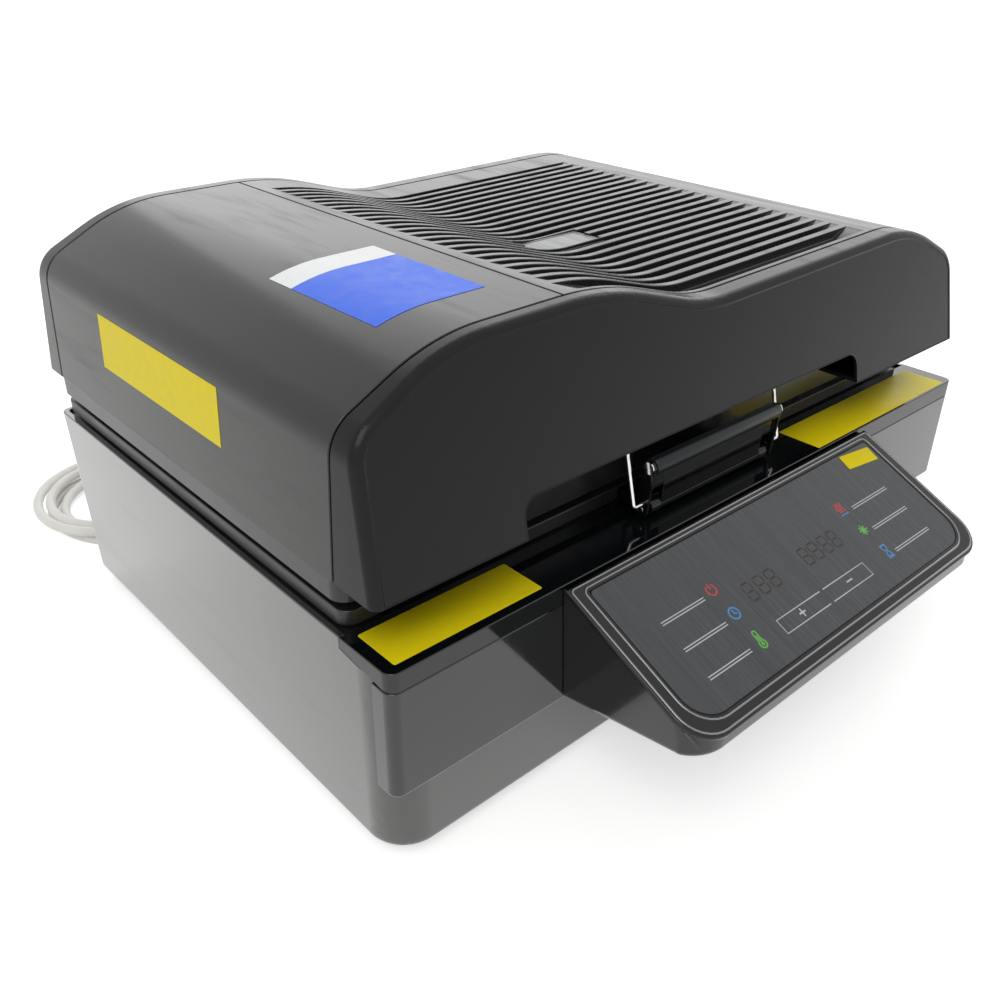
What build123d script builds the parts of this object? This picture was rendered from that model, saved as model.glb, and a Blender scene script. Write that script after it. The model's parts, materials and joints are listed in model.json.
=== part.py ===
from build123d import *
import math
import os

os.makedirs("parts", exist_ok=True)

# A benchtop vacuum heat press: a moulded tub holds the vacuum tray, pump and
# electronics, a membrane frame closes the tray, and a lid with heating tubes
# closes over both. X runs left to right seen from the operator, the operator
# stands on -Y, and the machine rests on Z = 0. Millimetres.

# ---------------------------------------------------------------- clearances
fit = 0.3  # between separate pieces that lie beside each other
touch = 0.05  # between a piece and the seat that carries it
running = 0.05  # radial clearance of a shaft in its hole
joint_gap = 1.8  # visible joint between two lid mouldings

# ---------------------------------------------------------------- base tub
base_y = 50.86  # the tub's middle, measured from the origin
foot_height = 8.0
foot_radius = 14.0
foot_inset = 52.0
tub_width = 658.5
tub_depth = 472.0
tub_wall = 5.0
tub_corner = 30.0  # plan corners at the front, behind the trim
tub_rear_corner = 8.0
tub_foot_roll = 7.5  # rolled edge round the underside
boss_radius = 9.0
tub_draft = 2.0  # lean of the side walls at the foot, each side
rear_lean = 10.5  # how far the rear wall draws in towards the foot
rim_z = 167.0
half_width = tub_width / 2
half_depth = tub_depth / 2

# ---------------------------------------------------------------- front trim
trim_corner = 8.0
trim_proud = 3.0  # front panel and ledge stand in front of the tub
trim_skin = 2.8
panel_bottom_z = 70.0
panel_wrap = 19.0  # how far the front panel runs back along the side walls
ledge_depth = 50.0
ledge_lip = 14.6  # lip height at the front corner
ledge_lip_rear = 8.0  # lip height where the ledge ends

# ---------------------------------------------------------------- control box
tilt = 25.0  # slope of the control panel
bezel_left = -192.5
bezel_right = 168.0
bezel_slope = 131.0  # length of the bezel down the slope
bezel_corner = 27.0
bezel_lip = 4.0  # bezel thickness under its edge
bezel_chamfer = 1.2
box_reveal = 2.0  # the box wall stands in from the bezel's edge
box_taper = 3.5
box_wall = 3.0
box_depth = 125.0
box_out = 3.5  # the bezel's upper edge stands this far in front of the trim
box_floor_slope = 11.8  # the underside rises towards the operator, degrees
box_floor_roll = 6.0
glass_side = 14.0  # bezel border beside the glass
glass_top = 9.0
glass_bottom = 12.5
glass_corner = 22.0
glass_thickness = 2.5
board_thickness = 1.6
board_drop = 15.0
digit_height = 14.0
digit_left = -50.0  # middle of the temperature digits
digit_right = 22.0  # middle of the clock digits
digit_slope = 64.0  # both, down the slope
digit_left_width = 42.0
digit_right_width = 46.0
cable_window_width = 120.0
cable_window_height = 40.0

# ---------------------------------------------------------------- lid
lid_overhang = 0.75  # each side, past the tub
lid_width = tub_width + 2 * lid_overhang
lid_bottom_z = 206.0
lid_front = half_depth - 8.4  # front bottom edge, in front of the tub's middle
lid_rear = half_depth + 2.0
side_lean = 5.0  # each side wall leans in by this much up to the shoulder
shell = 3.0
front_joint = lid_front - 40.6
rear_joint = lid_rear - 27.4
front_draft = 12.0
rear_draft = 5.0
front_roll = 7.0
rear_roll = 5.0
dome_height = 338.8
dome_shoulder_x = -(lid_width / 2 - 76.0)
dome_edge_z = 301.0
dome_end_x = -117.0
deck_start_x = -22.0
deck_low_z = 311.3
deck_high_z = 317.0
deck_shoulder_x = lid_width / 2 - 74.0
deck_edge_z = 282.0
lid_tail = 80.0  # the outline runs on past the bottom edge by this much
edge_radius = 28.0
shoulder_radius = 150.0
saddle_radius = 250.0
foot_of_dome_radius = 150.0
seam_x = -150.0
seam_gap = 1.2
slot_left = -213.0
slot_right = 164.0
slot_height = 26.0
slot_corner = 12.0

# ribs pressed into the lid's deck
rib_count = 24
rib_pitch = 14.7
groove_width = 8.6
groove_depth = 7.0
rib_start_x = -146.0
rib_end_x = deck_shoulder_x - 38.0
outer_groove_width = 17.0
badge_width = 72.0
badge_depth = 30.0
badge_thickness = 2.0
badge_y = -30.0

# lid tray, the dark metal pan under the lid's shells
tray_bottom_z = 186.0
tray_top_z = 224.0
tray_front = front_joint - 1.0
tray_sheet = 2.5

# ---------------------------------------------------------------- chamber
service_bay = 176.25  # room left of the basin for the pump and the electronics
basin_margin = 52.25  # room right of the basin
chamber_x = (service_bay - basin_margin) / 2
chamber_y = 15.0
basin_width = tub_width - 2 * tub_wall - service_bay - basin_margin
basin_length = tub_depth - 172.0
basin_depth = 100.0
basin_corner = 18.0
basin_sheet = 1.5
basin_flange = 22.0
deck_z = 164.0
deck_sheet = 3.0
platform_height = 8.0
platform_sheet = 2.0
seal_width = 7.0
perforation_pitch = 20.0

# ---------------------------------------------------------------- membrane frame
frame_half_width = half_width - 5.75
frame_front = front_joint - 1.5
frame_rear = lid_rear - 6.0
frame_corner = 10.0
frame_bottom_z = 168.5
frame_thickness = 11.0
window_margin = 15.0  # frame window beyond the basin, each side
rebate_margin = 27.0  # rebate beyond the window, each side
rebate_depth = 6.0
membrane_thickness = 1.0
clamp_thickness = 3.0
clamp_screw_radius = 3.0

# ---------------------------------------------------------------- rear hinges
hinge_out = 11.0  # axis behind the tub's rear rim
hinge_z = 178.0
hinge_x = 200.0
knuckle_radius = 8.0
hinge_pin_radius = 4.0
lug_width = 10.0
arm_width = 12.0
arm_gap = 0.5

# ---------------------------------------------------------------- latch
latch_x = -14.0
latch_axis_front = lid_front - 14.6
latch_axis_z = 174.5
latch_barrel_radius = 6.0
latch_pin_radius = 2.5
latch_bracket_inner = 59.0
latch_bracket_width = 10.0
lever_sheet = 2.5
ear_offset = 73.0
grip_radius = 6.5
grip_front = latch_axis_front + 5.0
grip_z = 210.0
bail_wire_radius = 1.5
bail_half_width = 84.0
bail_pivot_front = latch_axis_front + 2.5
bail_pivot_z = 181.0
bail_top_front = latch_axis_front - 8.0
bail_top_z = 224.0

# ---------------------------------------------------------------- heater
tube_count = 6
tube_pitch = 50.0
tube_radius = 5.5
tube_length = basin_width
tube_z = 243.0
reflector_left = -(half_width - 37.25)
reflector_height = 38.0
reflector_sheet = 1.0
insulation_thickness = 22.0
grille_sheet = 1.5
fan_x = reflector_left + 60.0
fan_spread = 75.0
fan_wheel_radius = 42.0
fan_blades = 8
fan_motor_radius = 30.0
fan_motor_height = 34.0
fan_shaft_radius = 3.0

# ---------------------------------------------------------------- pump and electrics
wall_gap = 28.25  # between the pump and the tub's wall
pump_radius = 45.0
pump_length = 120.0
pump_x = -(half_width - tub_wall - wall_gap - pump_radius)
pump_y = half_depth - 176.0
pump_axis_z = 78.0
hose_radius = 6.0
hose_bore = 4.0
port_length = 22.0
cooling_fan_x = -40.0
cooling_fan_z = 85.0
cooling_fan_size = 80.0
cooling_fan_thickness = 20.0
switch_x = half_width - 99.25
switch_z = 85.0
switch_width = 30.0
switch_height = 22.0
rocker_radius = 12.0
board_width = 150.0
board_length = 110.0
board_x = -(half_width - 99.25)
board_y = -(half_depth - 117.0)
post_height = 8.0
post_radius = 4.0

# ---------------------------------------------------------------- mains cord
cord_radius = 4.75
cord_exit_x = -168.0
cord_exit_z = 30.0
gland_radius = 9.0
gland_length = 24.0
coil_x = -254.0
coil_behind = half_depth + 102.0
coil_radius = 84.0
coil_pitch = 12.0
coil_turns_per_layer = 2
coil_layer_gap = 2.0
coil_exit_step = 14.0  # the last half turn leaves the coil this much wider
coil_exit_rise = 6.4  # and climbs to the plug's middle
plug_length = 42.0
plug_radius = 14.0


# ---------------------------------------------------------------- helpers
def yy(value):
    """Y in the part's frame of a distance behind (+) or before (-) the tub's middle."""
    return base_y + value


def xz_at(y):
    """Upright XZ plane at a given Y; its normal points to -Y."""
    return Plane.XZ.offset(-y)


def keep(piece, label):
    """Name a finished piece and write its STEP file."""
    piece.part.label = label
    export_step(piece.part, f"parts/{label}.step")


def plan_box(width, depth, corner, y_middle, z_low, z_high, x_middle=0.0):
    """An upright block with rounded plan corners."""
    with BuildPart() as block:
        with BuildSketch(Plane.XY.offset(z_low)):
            with Locations((x_middle, yy(y_middle))):
                RectangleRounded(width, depth, corner)
        extrude(amount=z_high - z_low)
    return block.part


def side_prism(points, half_width):
    """A YZ outline run across the machine, half_width to each side."""
    with BuildPart() as prism:
        with BuildSketch(Plane.YZ.offset(-half_width)):
            with BuildLine():
                Polyline(*[(yy(y), z) for y, z in points], close=True)
            make_face()
        extrude(amount=2 * half_width)
    return prism.part


# ---------------------------------------------------------------- base shell
tub_rear_y = lid_rear
tub_front_y = tub_rear_y - tub_depth
tub_middle_y = (tub_front_y + tub_rear_y) / 2


def tub_block(inset, z_low, z_high):
    """The tub's outer shape drawn in by inset, between two heights."""
    turn = min(inset, tub_wall)
    with BuildPart() as block:
        for z in (z_low, z_high):
            rise = (rim_z - z) / (rim_z - foot_height)
            front = tub_front_y + inset + tub_draft * rise
            rear = tub_rear_y - inset - rear_lean * rise
            width = tub_width - 2 * inset - 2 * tub_draft * rise
            with BuildSketch(Plane.XY.offset(z)) as section:
                with Locations((0, yy((front + rear) / 2))):
                    Rectangle(width, rear - front)
                fillet(section.vertices().group_by(Axis.Y)[0], tub_corner - turn)
                fillet(section.vertices().group_by(Axis.Y)[-1], tub_rear_corner - turn)
        loft(ruled=True)
    return block.part


trim_front_y = tub_front_y - trim_proud
trim_back = 60.0
trim_block = plan_box(
    tub_width, trim_back, trim_corner, trim_front_y + trim_back / 2, foot_height, rim_z
)
ledge_back_y = trim_front_y + ledge_depth
lip_front_z = rim_z - ledge_lip
lip_rear_z = rim_z - ledge_lip_rear
wrap_y = trim_front_y + panel_wrap
outside = trim_front_y - 20.0
beyond = tub_width

ledge_region = side_prism(
    [(outside, lip_front_z), (trim_front_y, lip_front_z), (ledge_back_y, lip_rear_z),
     (ledge_back_y, rim_z), (outside, rim_z)],
    beyond,
)
ledge_pocket = side_prism(
    [(outside, lip_front_z - fit), (trim_front_y, lip_front_z - fit),
     (ledge_back_y + fit, lip_rear_z - fit), (ledge_back_y + fit, rim_z + fit),
     (outside, rim_z + fit)],
    beyond,
)
panel_region = side_prism(
    [(outside, panel_bottom_z), (wrap_y, panel_bottom_z), (wrap_y, lip_front_z - fit),
     (outside, lip_front_z - fit)],
    beyond,
)
panel_pocket = side_prism(
    [(outside, panel_bottom_z - fit), (wrap_y + fit, panel_bottom_z - fit),
     (wrap_y + fit, lip_front_z), (outside, lip_front_z)],
    beyond,
)
ledge_floor_z = rim_z - trim_skin
trim_core = tub_block(trim_skin, foot_height, rim_z)
trim_core_low = tub_block(trim_skin, foot_height, ledge_floor_z)
seat_core = tub_block(trim_skin + touch, foot_height, rim_z)
seat_core_low = tub_block(trim_skin + touch, foot_height, ledge_floor_z - touch)
cavity = tub_block(tub_wall, foot_height + tub_wall, rim_z + 1.0)

# the rear wall's own plane: local x runs to the machine's left seen from behind,
# local y runs up the wall and the normal points out
lean_angle = math.degrees(math.atan2(rear_lean, rim_z - foot_height))
rear_plane = Plane(
    origin=(0, yy(tub_rear_y), rim_z),
    x_dir=(-1, 0, 0),
    z_dir=(0, math.cos(math.radians(lean_angle)), -math.sin(math.radians(lean_angle))),
)


def up_wall(z):
    """Distance along the rear wall from its rim to a given height."""
    return (z - rim_z) / math.cos(math.radians(lean_angle))


vent_radius = cooling_fan_size / 2 - 3.0
cord_hole_radius = gland_radius - 2.0

with BuildPart() as base_shell:
    add(tub_block(0.0, foot_height, rim_z))
    fillet(base_shell.edges().group_by(Axis.Z)[0], tub_foot_roll)
    add(cavity, mode=Mode.SUBTRACT)
    add(ledge_pocket - seat_core_low, mode=Mode.SUBTRACT)
    add(panel_pocket - seat_core, mode=Mode.SUBTRACT)
    # window behind the control box for its cables
    with BuildSketch(xz_at(yy(trim_front_y))):
        with Locations((0, panel_bottom_z + cable_window_height)):
            Rectangle(cable_window_width, cable_window_height)
    extrude(amount=-3 * tub_wall, mode=Mode.SUBTRACT)
    # fan vent, switch cut-out and cord hole in the rear wall
    with BuildSketch(rear_plane.offset(tub_wall)):
        with Locations((-cooling_fan_x, up_wall(cooling_fan_z))):
            Circle(vent_radius)
        with Locations((-switch_x, up_wall(switch_z))):
            Rectangle(switch_width + 2 * fit, switch_height + 2 * fit)
        with Locations((-cord_exit_x, up_wall(cord_exit_z))):
            Circle(cord_hole_radius + fit)
    extrude(amount=-3 * tub_wall, mode=Mode.SUBTRACT)
    # four bosses under the deck plate
    with BuildSketch(Plane.XY.offset(foot_height + tub_wall)):
        with Locations((0, yy(tub_middle_y))):
            with GridLocations(tub_width - 44, tub_depth - 90, 2, 2):
                Circle(boss_radius)
    extrude(amount=deck_z - deck_sheet - foot_height - tub_wall - touch)
    # four posts under the control board
    with BuildSketch(Plane.XY.offset(foot_height + tub_wall)):
        with Locations((board_x, yy(board_y))):
            with GridLocations(board_width - 12.0, board_length - 12.0, 2, 2):
                Circle(post_radius)
    extrude(amount=post_height)
keep(base_shell, "base_shell")

with BuildPart() as front_panel:
    add(trim_block & panel_region)
    add(trim_core, mode=Mode.SUBTRACT)
    with BuildSketch(xz_at(yy(trim_front_y - 1.0))):
        with Locations((0, panel_bottom_z + cable_window_height)):
            Rectangle(cable_window_width, cable_window_height)
    extrude(amount=-3 * trim_skin, mode=Mode.SUBTRACT)
    bottom_edges = front_panel.edges().group_by(Axis.Z)[0]
    outer_bottom = bottom_edges.sort_by(Axis.Y)[0]
    chamfer(outer_bottom, 1.2)
keep(front_panel, "front_panel")

with BuildPart() as front_ledge:
    add(trim_block & ledge_region)
    add(trim_core_low, mode=Mode.SUBTRACT)
keep(front_ledge, "front_ledge")

with BuildPart() as rubber_feet:
    with BuildSketch():
        with Locations((0, yy(tub_middle_y))):
            with GridLocations(tub_width - 2 * foot_inset, tub_depth - 2 * foot_inset, 2, 2):
                Circle(foot_radius)
    extrude(amount=foot_height)
keep(rubber_feet, "rubber_feet")

screw_head_height = 2.4
with BuildPart() as case_screws:
    with BuildSketch(Plane.XY.offset(foot_height - screw_head_height)):
        with Locations((0, yy(tub_middle_y))):
            with GridLocations((tub_width - 3.4 * foot_inset) / 3, tub_depth - 2 * foot_inset, 4, 2):
                Circle(4.0)
    extrude(amount=screw_head_height)
keep(case_screws, "case_screws")

# ---------------------------------------------------------------- control box
panel_plane = Plane(
    origin=(0, yy(trim_front_y - box_out), rim_z),
    x_dir=(1, 0, 0),
    z_dir=(0, -math.sin(math.radians(tilt)), math.cos(math.radians(tilt))),
)
bezel_width = bezel_right - bezel_left
bezel_x = (bezel_left + bezel_right) / 2
box_reach = 2 * bezel_slope
cos_tilt = math.cos(math.radians(tilt))
sin_tilt = math.sin(math.radians(tilt))
box_front_y = trim_front_y - box_out - (bezel_slope - box_reveal) * cos_tilt + bezel_lip * sin_tilt


def slope_outline(inset, corner, top, bottom):
    """Panel outline with two round front corners, in the control panel's plane."""
    with BuildSketch() as outline:
        half = bezel_width / 2 - inset
        with BuildLine():
            FilletPolyline(
                (bezel_x - half, -top), (bezel_x - half, -bottom), (bezel_x + half, -bottom),
                (bezel_x + half, -top), radius=corner,
            )
            Line((bezel_x + half, -top), (bezel_x - half, -top))
        make_face()
    return outline.sketch_local


def control_block(inset, skin):
    """The control box's body, drawn in by inset, its floor raised by skin."""
    corner = bezel_corner - box_reveal - inset
    with BuildPart() as block:
        with BuildSketch(panel_plane.offset(-bezel_lip - touch)):
            add(slope_outline(box_reveal + inset, corner, -ledge_depth, bezel_slope + corner))
        extrude(amount=-box_depth, taper=box_taper)
    # upright front wall with round corners
    front = box_front_y + inset
    upright = plan_box(
        bezel_width - 2 * (box_reveal + inset), 2 * box_reach, corner, front + box_reach,
        0.0, 2 * rim_z, bezel_x,
    )
    floor_rise = box_reach * math.tan(math.radians(box_floor_slope))
    floor = side_prism(
        [(trim_front_y - touch, panel_bottom_z + skin), (trim_front_y - touch, 2 * rim_z),
         (trim_front_y - box_reach, 2 * rim_z),
         (trim_front_y - box_reach, panel_bottom_z + skin + floor_rise)],
        beyond,
    )
    return block.part & upright & floor


box_outer = control_block(0.0, 0.0)
box_inner = control_block(box_wall, box_wall)
with BuildPart() as control_box:
    add(box_outer)
    lowest = control_box.faces().filter_by(Plane.XZ, reverse=True).sort_by(Axis.Z)[0]
    floor_edges = lowest.edges().filter_by(lambda e: e.center().Y < yy(trim_front_y - 1.0))
    fillet(floor_edges, box_floor_roll)
    add(box_inner, mode=Mode.SUBTRACT)
keep(control_box, "control_box")

window_margin_glass = 6.0
with BuildPart() as control_bezel:
    with BuildSketch(panel_plane.offset(-bezel_lip)):
        add(slope_outline(0.0, bezel_corner, 0.0, bezel_slope))
    extrude(amount=bezel_lip)
    top_edges = control_bezel.edges().filter_by(
        lambda e: abs(panel_plane.to_local_coords(e.center()).Z) < touch
    )
    chamfer(top_edges, bezel_chamfer)
    with BuildSketch(panel_plane.offset(-glass_thickness - fit)):
        add(slope_outline(glass_side - fit, glass_corner, glass_top - fit,
                          bezel_slope - glass_bottom + fit))
    extrude(amount=glass_thickness + 2.0, mode=Mode.SUBTRACT)
    with BuildSketch(panel_plane.offset(-2 * bezel_lip)):
        add(slope_outline(glass_side + window_margin_glass, glass_corner - window_margin_glass,
                          glass_top + window_margin_glass,
                          bezel_slope - glass_bottom - window_margin_glass))
    extrude(amount=2 * bezel_lip, mode=Mode.SUBTRACT)
    # skirt that drops into the box and carries the board
    with BuildSketch(panel_plane.offset(-bezel_lip)):
        add(slope_outline(glass_side - 4.0, glass_corner, glass_top - 4.0,
                          bezel_slope - glass_bottom + 4.0))
        add(slope_outline(glass_side + window_margin_glass, glass_corner - window_margin_glass,
                          glass_top + window_margin_glass,
                          bezel_slope - glass_bottom - window_margin_glass), mode=Mode.SUBTRACT)
    extrude(amount=-(board_drop - bezel_lip - touch))
keep(control_bezel, "control_bezel")

with BuildPart() as touch_panel:
    with BuildSketch(panel_plane.offset(-glass_thickness - fit + touch)):
        add(slope_outline(glass_side, glass_corner, glass_top, bezel_slope - glass_bottom))
    extrude(amount=glass_thickness)
keep(touch_panel, "touch_panel")

board_inset = glass_side - 2.0
with BuildPart() as display_board:
    with BuildSketch(panel_plane.offset(-board_drop - board_thickness)):
        add(slope_outline(board_inset, glass_corner, glass_top - 2.0,
                          bezel_slope - glass_bottom + 2.0))
    extrude(amount=board_thickness)
keep(display_board, "display_board")

with BuildPart() as digit_displays:
    with BuildSketch(panel_plane.offset(-board_drop + touch)):
        with Locations((digit_left, -digit_slope)):
            Rectangle(digit_left_width, digit_height + 6.0)
        with Locations((digit_right, -digit_slope)):
            Rectangle(digit_right_width, digit_height + 6.0)
    extrude(amount=board_drop - glass_thickness - fit - 2 * touch)
keep(digit_displays, "digit_displays")


# ---------------------------------------------------------------- lid shells
def lid_outline(inset):
    """Closed XZ outline of the lid drawn in by inset; it runs down past the edge."""
    low_z = lid_bottom_z - lid_tail
    half = lid_width / 2
    left_drop = side_lean * lid_tail / (dome_edge_z - lid_bottom_z)
    right_drop = side_lean * lid_tail / (deck_edge_z - lid_bottom_z)
    with BuildSketch() as outline:
        with BuildLine():
            FilletPolyline(
                (-half - left_drop, low_z),
                (-half + side_lean, dome_edge_z),
                (dome_shoulder_x, dome_height - 1.2),
                (dome_end_x, dome_height + 0.4),
                (deck_start_x, deck_low_z),
                (deck_shoulder_x, deck_high_z),
                (half - side_lean, deck_edge_z),
                (half + right_drop, low_z),
                radius=[edge_radius, shoulder_radius, saddle_radius, foot_of_dome_radius,
                        shoulder_radius, edge_radius],
            )
            Line((half + right_drop, low_z), (-half - left_drop, low_z))
        make_face()
        if inset > 0:
            offset(amount=-inset)
    return outline.sketch_local


def lid_block(inset, y_front, y_rear):
    """The lid's solid shape between two Y stations, above the bottom edge."""
    with BuildPart() as block:
        with BuildSketch(xz_at(yy(y_front))):
            add(lid_outline(inset))
        extrude(amount=-(y_rear - y_front))
        with Locations((0, yy((y_front + y_rear) / 2), lid_bottom_z - lid_tail)):
            Box(2 * lid_width, 4 * (y_rear - y_front), 2 * lid_tail, mode=Mode.SUBTRACT)
    return block.part


def cap_block(inset, side):
    """An end cap's solid shape: side -1 is the front cap, 1 the rear cap."""
    draft = front_draft if side < 0 else rear_draft
    roll = (front_roll if side < 0 else rear_roll) - inset
    foot = lid_front if side < 0 else lid_rear
    back = (front_joint if side < 0 else rear_joint) + (joint_gap / 2 if inset == 0 else -5.0)
    slope = math.radians(draft)
    face_plane = Plane(
        origin=(0, yy(side * foot), lid_bottom_z),
        x_dir=(1, 0, 0),
        z_dir=(0, side * math.cos(slope), math.sin(slope)),
    ).offset(-inset)
    with BuildPart() as block:
        with BuildSketch(xz_at(yy(side * back))):
            add(lid_outline(inset))
        extrude(amount=-side * lid_tail)
        split(bisect_by=face_plane, keep=Keep.BOTTOM)
        with Locations((0, yy(side * foot), lid_bottom_z - lid_tail)):
            Box(2 * lid_width, 4 * foot, 2 * lid_tail, mode=Mode.SUBTRACT)
        face = block.faces().filter_by(lambda f: abs(f.normal_at().dot(face_plane.z_dir)) > 0.999)
        face = face.sort_by(Axis.Y)[0 if side < 0 else -1]
        rolled = face.edges().filter_by(lambda e: e.center().Z > lid_bottom_z + 1.0)
        fillet(rolled, roll)
    return block.part


mid_front = -(front_joint - joint_gap / 2)
mid_rear = rear_joint - joint_gap / 2
mid_outer = lid_block(0.0, mid_front, mid_rear)
mid_inner = lid_block(shell, mid_front - 1.0, mid_rear + 1.0)
tall = 2 * dome_height

with BuildPart() as lid_left_panel:
    add(mid_outer - mid_inner)
    with Locations((seam_x - seam_gap / 2 + lid_width, yy(0), lid_bottom_z)):
        Box(2 * lid_width, 4 * lid_rear, tall, mode=Mode.SUBTRACT)
keep(lid_left_panel, "lid_left_panel")


def groove_cutter(y, width):
    """One groove between two ribs; its floor rises to the surface at both ends."""
    with BuildPart() as cutter:
        with BuildSketch(xz_at(yy(y) - width / 2)):
            with BuildLine():
                FilletPolyline(
                    (rib_start_x, dome_height + 1.5),
                    (dome_end_x + 20.0, dome_height - groove_depth - 5.4),
                    (deck_start_x, deck_low_z - groove_depth),
                    (rib_end_x - 26.0, deck_high_z - groove_depth - 1.2),
                    (rib_end_x, deck_high_z + 1.0),
                    radius=[45.0, foot_of_dome_radius, 12.0],
                )
                Polyline(
                    (rib_end_x, deck_high_z + 1.0), (rib_end_x, tall), (rib_start_x, tall),
                    (rib_start_x, dome_height + 1.5),
                )
            make_face()
        extrude(amount=-width)
    return cutter.part


rib_floor = 3.5
mid_inner_deck = lid_block(groove_depth + rib_floor, mid_front - 1.0, mid_rear + 1.0)
ribs_front_y = -(rib_count / 2) * rib_pitch
badge_z_low = deck_low_z - groove_depth + 1.0
with BuildPart() as lid_top_panel:
    add(mid_outer - mid_inner)
    add((mid_outer - mid_inner_deck)
        & plan_box(rib_end_x - seam_x + 6.0, rib_count * rib_pitch + 12.0, 4.0, 0.0,
                   lid_bottom_z, tall, (rib_end_x + seam_x) / 2))
    with Locations((seam_x + seam_gap / 2 - lid_width, yy(0), lid_bottom_z)):
        Box(2 * lid_width, 4 * lid_rear, tall, mode=Mode.SUBTRACT)
    for index in range(1, rib_count):
        add(groove_cutter(ribs_front_y + index * rib_pitch + rib_pitch / 2, groove_width),
            mode=Mode.SUBTRACT)
    add(groove_cutter(ribs_front_y + 3.0, outer_groove_width), mode=Mode.SUBTRACT)
    # flat pad that carries the badge
    with Locations((0, yy(badge_y), badge_z_low)):
        Box(badge_width + 6.0, badge_depth + 6.0, 8.0)
    with Locations((0, yy(badge_y), badge_z_low + 4.0 + dome_height / 2)):
        Box(badge_width + 2 * fit, badge_depth + 2 * fit, dome_height, mode=Mode.SUBTRACT)
keep(lid_top_panel, "lid_top_panel")

with BuildPart() as lid_badge:
    with BuildSketch(Plane.XY.offset(badge_z_low + 4.0 + touch)):
        with Locations((0, yy(badge_y))):
            RectangleRounded(badge_width, badge_depth, 2.0)
    extrude(amount=badge_thickness)
keep(lid_badge, "lid_badge")

cap_floor = 3.0
front_outer = cap_block(0.0, -1)
front_inner = cap_block(shell, -1)
with BuildPart() as lid_front_cap:
    add(front_outer - front_inner)
    # floor webs beside the slot tie the cap to the lid tray
    with BuildSketch(Plane.XY.offset(lid_bottom_z)):
        web_left = slot_left + lid_width / 2 - 2 * shell
        web_right = lid_width / 2 - slot_right - 2 * shell
        with Locations((-lid_width / 2 + 2 * shell + web_left / 2, yy(-(tray_front + lid_front - 2) / 2))):
            Rectangle(web_left, lid_front - 2.0 - tray_front - touch)
        with Locations((lid_width / 2 - 2 * shell - web_right / 2, yy(-(tray_front + lid_front - 2) / 2))):
            Rectangle(web_right, lid_front - 2.0 - tray_front - touch)
    extrude(amount=cap_floor)
    # the slot that the latch works through
    with BuildSketch(xz_at(yy(-lid_front - 5.0))):
        with Locations(((slot_left + slot_right) / 2, lid_bottom_z)):
            RectangleRounded(slot_right - slot_left, 2 * slot_height, slot_corner)
    extrude(amount=-(lid_front + 5.0 - front_joint + 3.0), mode=Mode.SUBTRACT)
keep(lid_front_cap, "lid_front_cap")

rear_outer = cap_block(0.0, 1)
rear_inner = cap_block(shell, 1)
with BuildPart() as lid_rear_cap:
    add(rear_outer - rear_inner)
keep(lid_rear_cap, "lid_rear_cap")

# ---------------------------------------------------------------- lid tray
wall_draw = side_lean * (tray_top_z - lid_bottom_z) / (dome_edge_z - lid_bottom_z)
deck_edge_draw = side_lean * (tray_top_z - lid_bottom_z) / (deck_edge_z - lid_bottom_z)
tray_half_width = lid_width / 2 - max(wall_draw, deck_edge_draw) - shell - fit
tray_rear = lid_rear - shell - 2.6
tray_length = tray_front + tray_rear
tray_middle = (tray_rear - tray_front) / 2
reflector_right = chamber_x + tube_length / 2 + 14.0
reflector_width = reflector_right - reflector_left
reflector_middle = (reflector_left + reflector_right) / 2
reflector_length = basin_length + 26.0
tray_window_x = reflector_width + 2 * fit
tray_window_y = reflector_length + 2 * fit
tray_corner = 12.0
catch_low_z = tray_bottom_z + 6.0
catch_top_z = bail_top_z - 2.0
catch_tip_y = -bail_top_front + bail_wire_radius + 1.0

with BuildPart() as lid_tray:
    add(plan_box(2 * tray_half_width, tray_length, tray_corner, tray_middle, tray_bottom_z, tray_top_z))
    add(plan_box(2 * (tray_half_width - tray_sheet), tray_length - 2 * tray_sheet,
                 tray_corner - tray_sheet, tray_middle, tray_bottom_z, tray_top_z - tray_sheet),
        mode=Mode.SUBTRACT)
    add(plan_box(tray_window_x, tray_window_y, 4.0, chamber_y, tray_bottom_z, tray_top_z + 1.0,
                 reflector_middle), mode=Mode.SUBTRACT)
    # welded catch that the latch bail pulls against
    with BuildSketch(Plane.YZ.offset(latch_x - latch_bracket_inner)):
        with BuildLine():
            Polyline(
                (yy(-tray_front + touch), catch_low_z), (yy(-tray_front + touch), catch_top_z),
                (yy(catch_tip_y), catch_top_z), (yy(catch_tip_y), catch_top_z - tray_sheet),
                (yy(-tray_front - tray_sheet), catch_top_z - tray_sheet),
                (yy(-tray_front - tray_sheet), catch_low_z), close=True,
            )
        make_face()
    extrude(amount=2 * latch_bracket_inner)
keep(lid_tray, "lid_tray")

flange_out = 12.0
reflector_top_z = tray_top_z + reflector_height
with BuildPart() as heat_reflector:
    add(plan_box(reflector_width, reflector_length, 4.0, chamber_y, tray_top_z + touch,
                 reflector_top_z, reflector_middle))
    add(plan_box(reflector_width + 2 * flange_out, reflector_length + 2 * flange_out, 4.0, chamber_y,
                 tray_top_z + touch, tray_top_z + touch + reflector_sheet, reflector_middle))
    add(plan_box(reflector_width - 2 * reflector_sheet, reflector_length - 2 * reflector_sheet, 3.0,
                 chamber_y, tray_top_z, reflector_top_z - reflector_sheet, reflector_middle),
        mode=Mode.SUBTRACT)
    with BuildSketch(Plane.XY.offset(reflector_top_z - 2 * reflector_sheet)):
        with Locations((fan_x, yy(chamber_y))):
            with GridLocations(1, 2 * fan_spread, 1, 2):
                Circle(fan_shaft_radius + 2.0)
    extrude(amount=4 * reflector_sheet, mode=Mode.SUBTRACT)
keep(heat_reflector, "heat_reflector")

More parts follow.
